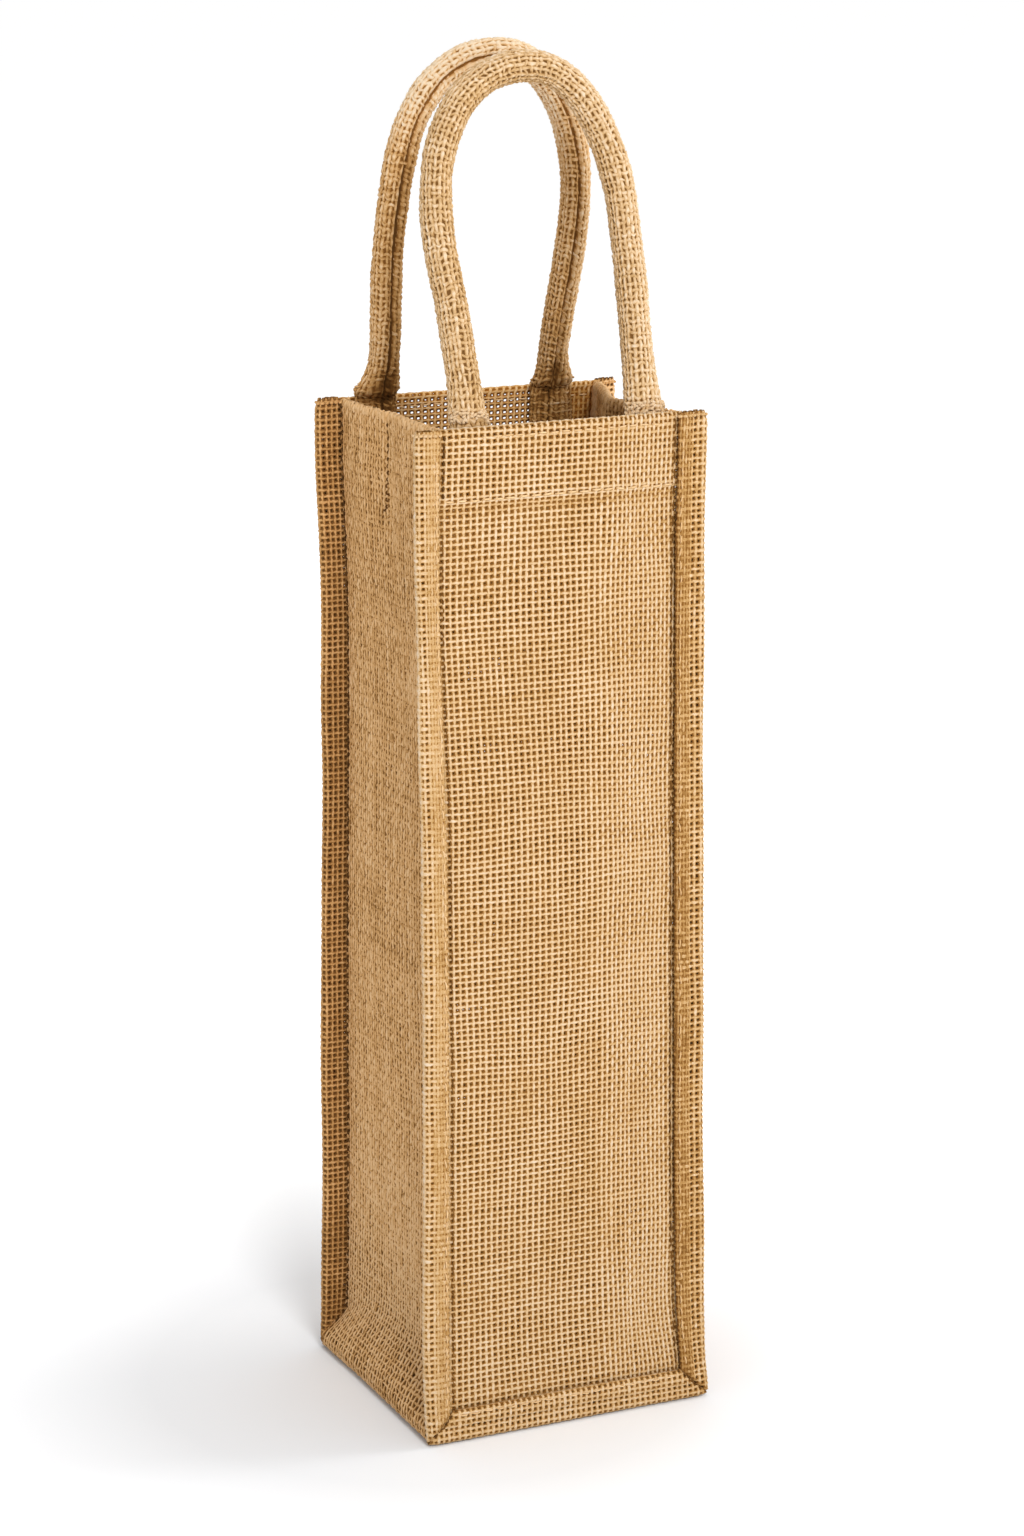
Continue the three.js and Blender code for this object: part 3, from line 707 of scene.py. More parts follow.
def make_panel(name, panel, seed):
    place = panel_cloth(panel)
    us = steps(-45.4, 43.6, warp_pitch)
    vs = panel_rows(ROW / 2 if panel < 0 else 0.39)

    # Painted shade in the grooves beside the seams (dashed on the left, darkest near the rim on the left), in the
    # crease under the hem's edge, in the groove at the foot and on the back's inside, darkest towards the right;
    # painted highlight on the hem's edge and round the rim; the front's inside a little paler.
    def tone(cu, cv):
        z = np.where(cv < PANEL_RIM, cv + PANEL_FOOT, 2 * HEIGHT - cv)
        dash = 0.72 + 0.28 * np.sin(z * 1.55)
        seam = np.where(cu < 0, dash * smooth((-cu - 41.9) / 1.2), smooth((cu - 39.9) / 1.3))
        hem = -1.9 * bell(z - HEM_Z + 1.9, 1.2) + 0.9 * bell(z - HEM_Z - 1.0, 1.2)
        rim = 0.8 * bell(cv - PANEL_RIM, 1.6)
        inside = (0.4 - (0.5 + 2.0 * smooth((cu - 16) / 14)) * (panel > 0)) * smooth((cv - PANEL_RIM - 1) / 2)
        foot = -0.5 * smooth((14.2 - z) / 1.5)
        deep = 1 + 0.5 * smooth((z - HEM_Z) / 4) * (cu < 0)
        right = -0.1 * smooth((cu - 8) / 16) * (panel < 0)
        return (-3.0 if panel > 0 else -1.8) * deep * seam + hem + rim + inside + foot + right

    def pinch(cu, cv):
        z = np.where(cv < PANEL_RIM, cv + PANEL_FOOT, 2 * HEIGHT - cv)
        if panel < 0:
            return 1.02
        sheer = smooth((z - HEM_Z + 2) / 3) * smooth((np.abs(cv - PANEL_RIM) - 1.5) / 2)
        return 1.25 - 0.46 * sheer * (1 - smooth((cu - 30) / 4)) * (1 - smooth((-cu - 26) / 4))

    def fill(cu, cv):
        z = np.where(cv < PANEL_RIM, cv + PANEL_FOOT, 2 * HEIGHT - cv)
        sheer = (panel > 0) * smooth((z - HEM_Z + 2) / 3) * (1 - smooth((cu - 30) / 4))
        return (0.785 if panel < 0 else 0.765) + (0.075 if panel < 0 else 0.05) * smooth((cu - 8) / 16) - 0.09 * sheer

    def side_shade(cu, cv):
        return 1.45 - 0.30 * smooth((cu - 8) / 16) * (panel < 0) + 0 * cv

    def calm(u, v):
        return 1 - (0.85 if panel > 0 else 0.3) * smooth((v + PANEL_FOOT - HEM_Z + 6) / 8) + 0 * u

    def keep(u, v):  # the turned-in layer ends at the sides
        return u, v, (v > PANEL_RISE + math.pi * FOLD_R) & (np.abs(u) > 42.3)

    part = Part()
    # checks paints the warp yarns paler towards the right, as painted light from the side; relief sets the painted
    # shade down the yarns' sides.
    weave(
        part, place, us, vs, seed, keep=keep, side_shade=side_shade, fill=(fill, fill), pinch=(pinch, pinch), thick=0.70,
        warp_highlight=lambda cu, cv: 2.6 * smooth((cu - 6) / 16),
        tone=tone, slub=0.003, wander=0.06, rough=0.7, jitter=(0.035, 0.035), calm=calm,
    )
    # Dark thread dashes stand in for the shadow in the two grooves beside the bands: painted shadow, darkest near the
    # rim on the left.
    if panel < 0:  # the two grooves beside the bands, deepest near the rim on the left
        for start, end, tone_now, size in ((14, 318, -6.0, 0.28), (327, 348.5, -9.5, 0.40)):
            a, b = row_of(-42.0, start - PANEL_FOOT, end - PANEL_FOOT, 1.7, 1.0)
            stitches(part, place, a, b, seed + start, radius=size, rise=0.16, tone=tone_now, loose=0.08)
        a, b = row_of(41.6, 14 - PANEL_FOOT, 348.5 - PANEL_FOOT, 5.0, 0.3)
        stitches(part, place, a, b, seed + 2, radius=0.29, rise=0.20, tone=-7.8, loose=0.06)
    return finish_mesh(name, part, FRONT if panel < 0 else BACK), place


front, front_place = make_panel("front_panel_cloth", -1, 11)
back, back_place = make_panel("back_panel_cloth", 1, 23)
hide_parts("front_panel")
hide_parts("back_panel")

# ------------------------------------------------------------------ gusset strip
STRIP_X = SEAM_X + CLOTH / 4


class Line:
    """A flat line of points with its arc length and its outward side, on its right."""

    def __init__(self, points):
        points = np.asarray(points, float)
        keep = np.concatenate([[True], np.hypot(*np.diff(points, axis=0).T) > 1e-6])
        self.p = points[keep]
        d = np.diff(self.p, axis=0)
        self.s = np.concatenate([[0], np.cumsum(np.hypot(d[:, 0], d[:, 1]))])
        t = np.gradient(self.p, self.s, axis=0)
        t /= np.hypot(t[:, 0], t[:, 1])[:, None]
        self.n = np.stack([t[:, 1], -t[:, 0]], -1)
        self.length = self.s[-1]

    def at(self, s, h):
        a = np.interp(s, self.s, self.p[:, 0])
        b = np.interp(s, self.s, self.p[:, 1])
        na = np.interp(s, self.s, self.n[:, 0])
        nb = np.interp(s, self.s, self.n[:, 1])
        size = np.hypot(na, nb)
        return a + h * na / size, b + h * nb / size


def strip_line():
    """From the middle of the base out, round the floor fold, up the side and into the hem."""
    out = [(x, CLOTH / 2) for x in np.linspace(0, STRIP_X + REACH - FLOOR_FOLD + CLOTH / 2, 60)]
    r = FLOOR_FOLD - CLOTH / 2
    cx = STRIP_X + REACH - r
    for t in np.linspace(0, math.pi / 2, 12)[1:]:
        out.append((cx + r * math.sin(t), FLOOR_FOLD - r * math.cos(t)))
    for z in np.linspace(FLOOR_FOLD, RIM_Z, 400)[1:]:
        out.append((STRIP_X + REACH * float(smooth((FLARE + FLOOR_FOLD - z) / FLARE)), z))
    top = out[-1][0]
    for t in np.linspace(0, math.pi, 16)[1:]:
        out.append((top - FOLD_R * (1 - math.cos(t)), RIM_Z + FOLD_R * math.sin(t)))
    for z in np.linspace(RIM_Z, HEM_Z, 20)[1:]:
        out.append((top - 2 * FOLD_R, z))
    return Line(out)


STRIP = strip_line()
S_FLOOR = STRIP.s[np.argmax(STRIP.p[:, 1] > CLOTH / 2 + 1e-6) - 1]
S_RIM = STRIP.s[np.argmax(STRIP.p[:, 1])]
CREASE_Y = 3.5  # a short pressed fold in the left side's hem


def side_cloth(side):
    def place(u, v, h):
        x, z = STRIP.at(v, h)
        out = 0.25 * smooth((z - HEM_Z + 1) / 2) * (v < S_RIM) + 0.35 * bell(v - S_RIM + 2.5, 4.0)
        if side < 0:
            out = out + 0.8 * smooth((u - 12) / 28)
            out = out - 0.8 * bell(u - CREASE_Y, 0.9) * smooth((z - HEM_Z) / 1.5) * (v < S_RIM)
        return side_point(side * (x + out), u, z, v < S_FLOOR - 2)

    return place


def make_side(name, side, seed, warp, row):
    place = side_cloth(side)
    us = steps(-43.3, 43.3, warp)
    v, below = S_RIM, []
    while v > 0.5:
        below.append(v)
        v -= row if v > S_FLOOR + 8 else 2.5
    below = np.array(below[::-1])
    above = S_RIM + np.arange(1, 20) * 1.9
    vs = np.concatenate([below, above[above < STRIP.length - 0.5]])

    # Painted shade in the short fold near the rim, at the seams (dashed down the far seam) and on the inside; painted
    # highlight round the rim and on the right side's back corner roll; darker at the floor fold, paler lower down, a
    # little darker near the top.
    def tone(cu, cv):
        z = np.interp(cv, STRIP.s, STRIP.p[:, 1])
        outside = cv < S_RIM
        crease_shade = -3.0 * bell(cu - CREASE_Y, 1.0) * smooth((z - HEM_Z + 1) / 2) * outside if side < 0 else 0
        foot = -1.6 * smooth((22 - z) / 16) + 1.6 * smooth((170 - z) / 150) + 1.3 * low(cv) - 0.4 * smooth((z - 260) / 60)
        dash = clamp01(0.5 + 1.2 * np.sin(z * 2.2))
        seams = np.where(cu > 0, -(1.0 + 4.0 * dash) * smooth((cu - 41.6) / 0.6), -1.2 * smooth((-cu - 39.5) / 3))
        rim = 2.0 * bell(cv - S_RIM + 0.6, 2.6)
        corner_highlight = 6.0 * smooth((cu - 31) / 4) * (side > 0)
        inside = (-1.8 + corner_highlight) * smooth((cv - S_RIM - 1) / 2)
        return crease_shade + foot + seams + rim + inside - 0.8

    def low(cv):
        return smooth((62 - np.interp(cv, STRIP.s, STRIP.p[:, 1])) / 40)

    def side_shade(cu, cv):
        return 0.9 + 0.5 * low(cv) - 0.55 * bell(cv - S_RIM + 0.8, 2.8)

    def fill(cu, cv):
        return 0.89 - 0.12 * low(cv)

    part = Part()
    # relief, checks and lift put painted shade on the yarns' sides and painted light on the warp yarns and the raised
    # crossings.
    weave(
        part, place, us, vs, seed, side_shade=side_shade, fill=(fill, fill), pinch=(1.1, 1.1), thick=0.72, crimp=0.20,
        drift=0.35, wander=0.12, jitter=(0.20, 0.26), rough=1.7, slub=0.010,
        mottle=0.35, fleck=1.4, zig=0.34, warp_highlight=1.8, warp_up=0.07, bead=0.75, height_shading=6.0, tone=tone, phase=len(below) % 2,
    )
    # Dark dashes, as painted shadow: down the far seam's crease, and along the short fold near the rim.
    a, b = row_of(42.6, S_FLOOR + 12, S_RIM - 1, 1.9, 1.2)
    stitches(part, place, a, b, seed + 1, radius=0.34, rise=0.3, tone=-9.5, loose=0.12)
    if side < 0:
        a, b = row_of(CREASE_Y, S_RIM - 33, S_RIM - 3, 1.5, 0.8)
        hook = (np.array([[CREASE_Y + 0.2, S_RIM - 33]]), np.array([[CREASE_Y + 2.0, S_RIM - 34.2]]))
        a, b = np.concatenate([a, hook[0]]), np.concatenate([b, hook[1]])
        stitches(part, place, a, b, seed + 2, radius=0.31, rise=0.5, tone=-7.5, loose=0.10)
    return finish_mesh(name, part, SIDE_SHADED), place


left, left_place = make_side("gusset_left_cloth", -1, 31, 2.05, 2.05)
right, right_place = make_side("gusset_right_cloth", 1, 37, 2.2, 2.1)
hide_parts("gusset")
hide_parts("gusset")


# ------------------------------------------------------------------ wrapped edges
def wrap_line(flange, band_w):
    """Across a wrapped edge as (inset, height over the panel's face): tucked fold, band, front layer, tip, back layer."""
    band_o = LAYER + BAND_RISE - CLOTH / 2
    face_o = GAP + CLOTH / 2
    back_o = -(CLOTH + 2 * GAP + CLOTH / 2)
    out = []
    r = (band_o - 0.45) / 2
    for t in np.linspace(-math.pi / 2, math.pi / 2, 10):
        out.append((flange - r + r * math.cos(t), band_o - r + r * math.sin(t)))
    for w in np.linspace(flange - r, flange - band_w + 0.5, 8)[1:]:
        out.append((w, band_o))
    for t in np.linspace(0, 1, 6)[1:]:
        out.append((flange - band_w + 0.5 - 0.8 * t, mix(band_o, face_o, float(smooth(t)))))
    half = (face_o - back_o) / 2
    middle = (face_o + back_o) / 2
    for w in np.linspace(flange - band_w - 0.3, 1.7, 8)[1:]:
        out.append((w, face_o))
    for t in np.linspace(0, math.pi, 14)[1:]:
        out.append((1.7 - 1.1 * math.sin(t), middle + half * math.cos(t)))
    for w in np.linspace(1.7, HALF_W - STRIP_X - 0.3, 10)[1:]:
        out.append((w, back_o))
    return Line(out)


# The wraps on the left are a little narrower. The foot's are as wide as the right ones.
WIDTHS = {-1: (FLANGE - 1.7, BAND + 1.1), 1: (FLANGE, BAND + 0.8)}
WRAPS = {side: wrap_line(*widths) for side, widths in WIDTHS.items()}
BAND_ENDS = {
    side: wrap.s[np.argmax(wrap.p[:, 0] < WIDTHS[side][0] - WIDTHS[side][1] + 0.2)]
    for side, wrap in WRAPS.items()
}
TIPS = {side: wrap.s[np.argmin(wrap.p[:, 0])] for side, wrap in WRAPS.items()}
TIP_OUT = {(-1, -1): 0.15, (-1, 1): 0.75, (1, -1): 0.65, (1, 1): 0.50}
MITRE_DIP = 0.95


def upright_cloth(panel, side):
    def place(u, v, h):
        w, o = WRAPS[side].at(u, h)
        dip = MITRE_DIP * bell(np.maximum(v - w, 0), 0.9) * (o > -0.6)
        ripple = 0.2 * np.sin(v / 19 + panel) + 0.15 * np.sin(v / 11 + 2 * side) + TIP_OUT[panel, side]
        top = clamp01(1 - (RIM_Z + 0.4 - v) / 3.5)
        x = HALF_W - w + ripple * clamp01(1 - w / 3.0) * smooth(v / 25) * (1 - 0.8 * top)
        x = x - 0.9 * clamp01(1 - w / 2.4) * top**2
        blunt = 0.5 * clamp01(1 - w / 2.4) * clamp01(1 - v / 6.0)
        return settle(side * (x - blunt), panel * (HALF_D + o - dip), np.maximum(v, w) + blunt)

    return place


def foot_cloth(panel):
    def place(u, v, h):
        w, o = WRAPS[1].at(u, h)
        reach = HALF_W - np.abs(v)
        dip = MITRE_DIP * bell(np.maximum(reach - w, 0), 0.9) * (o > -0.6)
        blunt = 0.5 * clamp01(1 - w / 2.4) * clamp01(1 - reach / 6.0)
        x = np.clip(v, -(HALF_W - w), HALF_W - w)
        return settle(x - np.sign(x) * blunt, panel * (HALF_D + o - dip), np.maximum(w, 0) + blunt)

    return place


def make_edge(name, panel, seed):
    part = Part()
    style = dict(thick=0.58, crimp=0.15, drift=0.12, wander=0.08, jitter=(0.04, 0.05), slub=0.004, mottle=0.45, rough=1.0)

    for side in (-1, 1):
        wrap, band_end, s_tip = WRAPS[side], BAND_ENDS[side], TIPS[side]
        band = steps(0.45, band_end + 0.2, 1.15)
        open_part = steps(band_end + 0.2, wrap.length - 0.4, 2.0)[1:]
        us = np.concatenate([band, open_part])
        near = panel < 0 and side < 0

        def warp_fill(cu, cv):
            return np.where(cu < band_end + 0.3, 1.05, 0.81 if near else 0.78) + 0.16 * bell(cu - s_tip, 1.8)

        def weft_fill(cu, cv):
            return np.where(cu < band_end, 0.98, 0.81 if near else 0.78) + 0.12 * bell(cu - s_tip, 1.8)

        def pinch(cu, cv):
            return np.where(cu < band_end, 1.08, 0.98 if near else 0.90)

        def side_shade(cu, cv):
            inner = 0.50 if side < 0 else 1.0
            return np.where(cu < band_end, inner, 0.9 if near else 1.1 if panel < 0 else 1.5) * (1 - 0.6 * bell(cu - s_tip, 1.3))

        # Painted shade on the wraps turned from the light, the front right band darkest, in the mitres, at the tucked
        # fold, at the step down from the band and over the back layer's last yarns.
        base = {(-1, -1): 0.0, (-1, 1): -2.2, (1, -1): -2.8, (1, 1): -0.5}[panel, side]

        def tone(cu, cv, side=side, base=base):
            w, _ = wrap.at(cu, 0)
            mitre_shade = -3.5 * bell(np.maximum(cv - w, 0), 1.3) * (cu < s_tip)
            tuck_shading = -2.6 * smooth((1.9 - cu) / 1.2)
            step = -0.9 * bell(cu - band_end - 0.9, 0.8)
            far = -1.6 * smooth((cu - wrap.length + 1.6) / 1.0) * (panel > 0)
            if (panel, side) == (-1, 1):
                base = np.where(cu < band_end, -4.1, -1.5)
            low = -0.8 * smooth((60 - cv) / 60) * (panel > 0)
            # Painted shade: on the back the layer that faces forwards keeps its darker base.
            if panel > 0:  # the layer that faces forwards is the darker one
                base = np.where(cu > s_tip - 0.5, base, -0.3)
            tip = 0.2 * bell(cu - s_tip, 1.3) * (panel < 0)
            return base + tip + mitre_shade + tuck_shading + step + far + low - 2.2 * (cu < band_end) * (side < 0)

        def keep(u, v):
            w, _ = wrap.at(u, 0)
            return u, np.maximum(v, w), v < w + 0.05

        vs = (RIM_Z - 0.1) - np.arange(0, 400) * 2.06
        vs = vs[vs > 0.8][::-1]
        weave(
            part, upright_cloth(panel, side), us, vs, seed + 10 + side,
            fill=(warp_fill, weft_fill), pinch=(pinch, pinch), keep=keep, tone=tone, side_shade=side_shade,
            fleck=0.9 if side > 0 else 0.4, **style,
        )
        # The cord of turned-in yarn along the top.
        a, b = row_of(RIM_Z - 0.4, 0.5, wrap.length - 0.4, 1.5, 0.35, vertical=False)
        stitches(
            part, upright_cloth(panel, side), a, b, seed + side, radius=0.50, rise=0.18,
            tone=0.6 if near else -0.8, loose=0.10,
        )
        # Dark thread dashes stand in for the shadow in the crease where the far side joins.
        if panel > 0:  # the dark seam where the far side joins
            a, b = row_of(wrap.length - 0.5, 10, 347, 1.3, 0.8)
            stitches(
                part, upright_cloth(panel, side), a, b, seed + side + 5, radius=0.42, rise=0.35,
                tone=-9.5, loose=0.10,
            )

    wrap, s_tip = WRAPS[1], TIPS[1]

    def keep(u, v):
        w, _ = wrap.at(u, 0)
        limit = HALF_W - w
        return u, np.clip(v, -limit, limit), np.abs(v) > limit - 0.05

    # Painted shade in the mitres and at the tucked fold, a painted highlight on the ridge beside it, and darker
    # towards the right.
    def tone(cu, cv):
        w, _ = wrap.at(cu, 0)
        mitre_shade = -3.5 * bell(np.maximum(HALF_W - np.abs(cv) - w, 0), 1.3) * (cu < s_tip)
        tuck_shading = -1.5 * smooth((1.6 - cu) / 1.0) + 0.8 * bell(cu - 2.6, 1.0)
        return mitre_shade + tuck_shading - 0.6 * smooth((cv - 20) / 30)

    vs = steps(-HALF_W + 0.9, HALF_W - 0.9, 2.03)
    us = steps(0.5, wrap.length - 0.4, 1.95)
    weave(
        part, foot_cloth(panel), us, vs, seed + 40, fill=(0.78, 0.78), pinch=(1.0, 1.0),
        keep=keep, tone=tone, **style,
    )
    # The open mitres, drawn as dark thread: painted shade in their gaps.
    front_s = slice(np.argmax(wrap.p[:, 0]), np.argmin(wrap.p[:, 0]))
    for side in (-1, 1):
        w = np.arange(10.2, 2.5, -1.45)
        u = np.interp(-w, -wrap.p[front_s, 0], wrap.s[front_s])
        line = np.stack([u, side * (HALF_W - w - 0.45)], -1)
        stitches(
            part, foot_cloth(panel), line[:-1], line[1:] + (line[:-1] - line[1:]) * 0.02, seed + 60 + side,
            radius=0.24, rise=0.28, tone=-9.0, loose=0.03,
        )
    return finish_mesh(name, part, SIDE_SHADED if panel > 0 else FRONT)


edge_front = make_edge("gusset_front_edge", -1, 51)
edge_back = make_edge("gusset_back_edge", 1, 71)
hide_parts("gusset")
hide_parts("gusset")

# ------------------------------------------------------------------ handles
TUBE = 5.3
TAIL_FOOT = HEIGHT - 23
FRONT_LOOP = [
    (-31.9, 353), (-32.1, 363), (-32.6, 373), (-33.6, 389), (-35.1, 402), (-35.5, 414),
    (-34.5, 425), (-32.2, 435), (-27.5, 445), (-21.5, 453), (-13.1, 459), (-4.0, 462),
    (4.8, 462.3), (12.1, 460), (19.0, 454.3), (24.5, 445.5), (28.7, 434), (30.9, 422),
    (31.5, 407), (31.6, 393), (31.3, 379), (31.0, 366), (30.8, 353),
]
BACK_LOOP = [
    (-31.2, 353), (-31.5, 364), (-32.1, 376), (-32.8, 390), (-32.9, 404), (-32.2, 417),
    (-30.9, 430), (-28.3, 442), (-23.6, 452), (-17.5, 459), (-9.3, 463.8), (0.5, 465.6),
    (9.4, 464.3), (17.0, 459.8), (23.8, 452), (29.4, 442), (33.3, 430), (35.0, 417),
    (34.9, 403), (33.9, 389), (32.6, 376), (32.0, 364), (32.7, 353),
]
LEG_Z = [327, 335, 345, 349.5, 352, 356, 361, 370, 384]
# How far each leg's end spreads beyond the tube, away from the loop and into it, by panel and side.
LEG_OUT = {
    (-1, -1): [1.5, 1.5, 1.5, 1.4, 1.3, 1.0, 0.5, 0.1, 0],
    (-1, 1): [2.5, 2.5, 2.5, 2.6, 2.4, 1.7, 0.9, 0.2, 0],
    (1, -1): [2.4, 2.6, 3.2, 4.4, 4.6, 2.4, 0.4, 0, 0],
    (1, 1): [3.4, 3.4, 3.2, 2.8, 2.6, 1.2, 0.1, 0, 0],
}
LEG_INTO = {
    (-1, -1): [1.5, 1.5, 1.5, 1.4, 1.3, 1.0, 0.5, 0.1, 0],
    (-1, 1): [1.2, 1.2, 1.2, 1.2, 1.1, 0.8, 0.4, 0.1, 0],
    (1, -1): [0.8, 0.8, 0.6, 0.4, 0.7, 0.6, 0.1, 0, 0],
    (1, 1): [2.2, 2.2, 2.2, 2.0, 2.2, 1.0, 0.1, 0, 0],
}
LEG_THICK = [1.5, 1.6, 1.8, 2.1, 3.9, 4.4, 4.7, 5.2, 5.3]
LEG_IN = ([327, 335, 345, 349.5, 352, 356, 361, 370], [5.0, 5.0, 5.2, 5.6, 7.3, 8.3, 9.6, 12.2])


def loop_line(loop):
    """A smooth line through the loop's points and its two tails, evenly spaced."""
    pts = [(loop[0][0], TAIL_FOOT), (loop[0][0], 339), *loop, (loop[-1][0], 339), (loop[-1][0], TAIL_FOOT)]
    p = np.array(pts, float)
    p = np.concatenate([[2 * p[0] - p[1]], p, [2 * p[-1] - p[-2]]])
    out = []
    for i in range(1, len(p) - 2):
        p0, p1, p2, p3 = p[i - 1 : i + 3]
        t = np.linspace(0, 1, 24, endpoint=False)[:, None]
        out.append(
            0.5
            * (
                2 * p1
                + (p2 - p0) * t
                + (2 * p0 - 5 * p1 + 4 * p2 - p3) * t**2
                + (3 * p1 - p0 - 3 * p2 + p3) * t**3
            )
        )
    out.append(p[-2][None])
    out = np.concatenate(out)
    s = np.concatenate([[0], np.cumsum(np.hypot(*np.diff(out, axis=0).T))])
    even = np.linspace(0, s[-1], 700)
    return np.stack([np.interp(even, s, out[:, 0]), np.interp(even, s, out[:, 1])], -1)


def make_handle(name, panel, loop, lean, seed):
    """A stuffed sleeve. Angle 0 round it faces into the loop, a quarter turn on it faces back."""
    xz = loop_line(loop)
    z = xz[:, 1]
    inset = np.where(z > 370, 12.2 + lean * (z - 370), curve_at(*LEG_IN, z))
    mid = np.stack([xz[:, 0], panel * (HALF_D - inset), z], -1)
    s = np.concatenate([[0], np.cumsum(np.linalg.norm(np.diff(mid, axis=0), axis=1))])
    along = np.gradient(mid, s, axis=0)
    along /= np.linalg.norm(along, axis=1)[:, None]
    over = np.tile([0.0, 1.0, 0.0], (len(mid), 1))
    over -= (over * along).sum(1)[:, None] * along
    over /= np.linalg.norm(over, axis=1)[:, None]
    aside = np.cross(over, along)
    rng = np.random.default_rng(seed)
    wave = np.interp(s, np.linspace(0, s[-1], 40), rng.normal(size=40)) * 0.022
    wide = TUBE * (1 + wave * (z > 372))
    deep = curve_at(LEG_Z, LEG_THICK, z) * (1 + wave * (z > 372))
    # Where the stuffing ends, the sleeve spreads outwards and its seam opens.
    spread, gather = (
        np.where(xz[:, 0] < 0, curve_at(LEG_Z, ends[panel, -1], z), curve_at(LEG_Z, ends[panel, 1], z))
        for ends in (LEG_OUT, LEG_INTO)
    )
    opened = smooth((361 - z) / 7) * smooth((z - 344) / 5)
    notch = (0.36 + 0.30 * opened) * smooth((z - 349) / 3)
    notch_wide = 0.17 + 0.34 * opened
    seam = math.pi / 2 - 0.35 if panel < 0 else -math.pi / 2 + 0.1

    def at(values, v):
        return np.interp(v, s, values)

    def turned(angle, middle):
        return np.abs((angle - middle + math.pi) % (2 * math.pi) - math.pi)

    def place(u, v, h):
        angle = u / TUBE
        m, a, o = (
            np.stack([at(frame[:, i], v) for i in range(3)], -1) for frame in (mid, aside, over)
        )
        facing = np.cos(angle)
        out = at(spread, v) * np.maximum(0, -facing) ** 2 + at(gather, v) * np.maximum(0, facing) ** 2
        ra = at(wide, v) + h - 0.45 + out
        rb = at(deep, v) + h - 0.45
        cut = 1 - at(notch, v) * np.exp(-((turned(angle, seam) / at(notch_wide, v)) ** 2))
        cut = cut + 0.07 * np.exp(-((turned(angle, seam + 0.5) / 0.22) ** 2))
        return (
            m
            + a * (np.cos(angle) * ra * cut)[:, None]
            + o * (np.sin(angle) * rb * cut)[:, None]
            + CENTRE
        )

    # Painted shade along the seam's groove, in the hollow where it opens, on the side facing into the loop and below
    # the rim, with paler and darker rows for the ribs; painted shadow of the front loop down the back handle's legs,
    # heaviest on the left leg and near the rim; the front legs darker and paler towards the right; paler over the top
    # of the loop.
    def tone(cu, cv):
        height = at(z, cv)
        seamed = turned(cu / TUBE, seam)
        line = -2.5 * np.exp(-((seamed / 0.28) ** 2)) * smooth((height - 352) / 4)
        hollow_shade = -5.0 * np.exp(-((seamed / (0.12 + 0.5 * at(opened, cv))) ** 2)) * at(opened, cv)
        under = -0.8 * np.cos(cu / TUBE) * (0.6 if panel < 0 else 0.9)
        ribs_and_shade = (-2.2 + 1.5 * np.sin(height * 2 * math.pi / 3.2)) * smooth((350.5 - height) / 1.5)
        leg_shading = -1.5 - 0.3 * np.cos(cu / TUBE) + 1.3 * smooth((np.interp(cv, s, xz[:, 0]) - 5) / 20)
        if panel > 0:
            inner = np.interp(cv, s, xz[:, 0]) > 0
            leg_shading = 2.3 - np.where(inner, 3.2, 4.5) * smooth((459 - height) / 36) - 1.0 * smooth((366 - height) / 10)
        return line + hollow_shade + under + ribs_and_shade + leg_shading + 0.4 * smooth((height - 440) / 20)

    def pinch(cu, cv):
        facing = np.abs(np.sin(cu / TUBE))
        return 1.16 - 0.06 * smooth((facing - 0.45) / 0.3)

    def side_shade(cu, cv):
        lip = np.exp(-((turned(cu / TUBE, seam + 0.4) / 0.25) ** 2))
        return 0.70 - 0.35 * lip

    # Yarns lie closer on the loop's inner and outer sides.
    turn = np.linspace(0, 2 * math.pi, 2001)
    pitch = 1.45 + 0.45 * smooth((np.abs(np.sin(turn + seam)) - 0.35) / 0.4)
    number = np.concatenate([[0], np.cumsum((1 / pitch[1:] + 1 / pitch[:-1]) / 2 * TUBE * np.diff(turn))])
    columns = int(round(number[-1]))
    us = seam + np.interp(np.arange(columns + 1) * number[-1] / columns, number, turn)
    us = (seam + 0.24 + (us - seam) * (1 - 0.24 / math.pi)) * TUBE  # open at the seam
    vs = steps(1.0, s[-1] - 1.0, lambda v: 2.05 - 0.45 * float(smooth((349 - at(z, v)) / 3)))
    part = Part()
    weave(
        part, place, us, vs, seed, fill=(0.92, 0.80), pinch=(pinch, pinch), thick=0.70, crimp=0.28,
        drift=0.25, wander=0.12, jitter=(0.18, 0.26), rough=1.5, slub=0.008, section=BARREL,
        mottle=0.32, fleck=0.85, zig=0.36, tone=tone, side_shade=side_shade, warp_up=0.05, height_shading=6.5,
    )
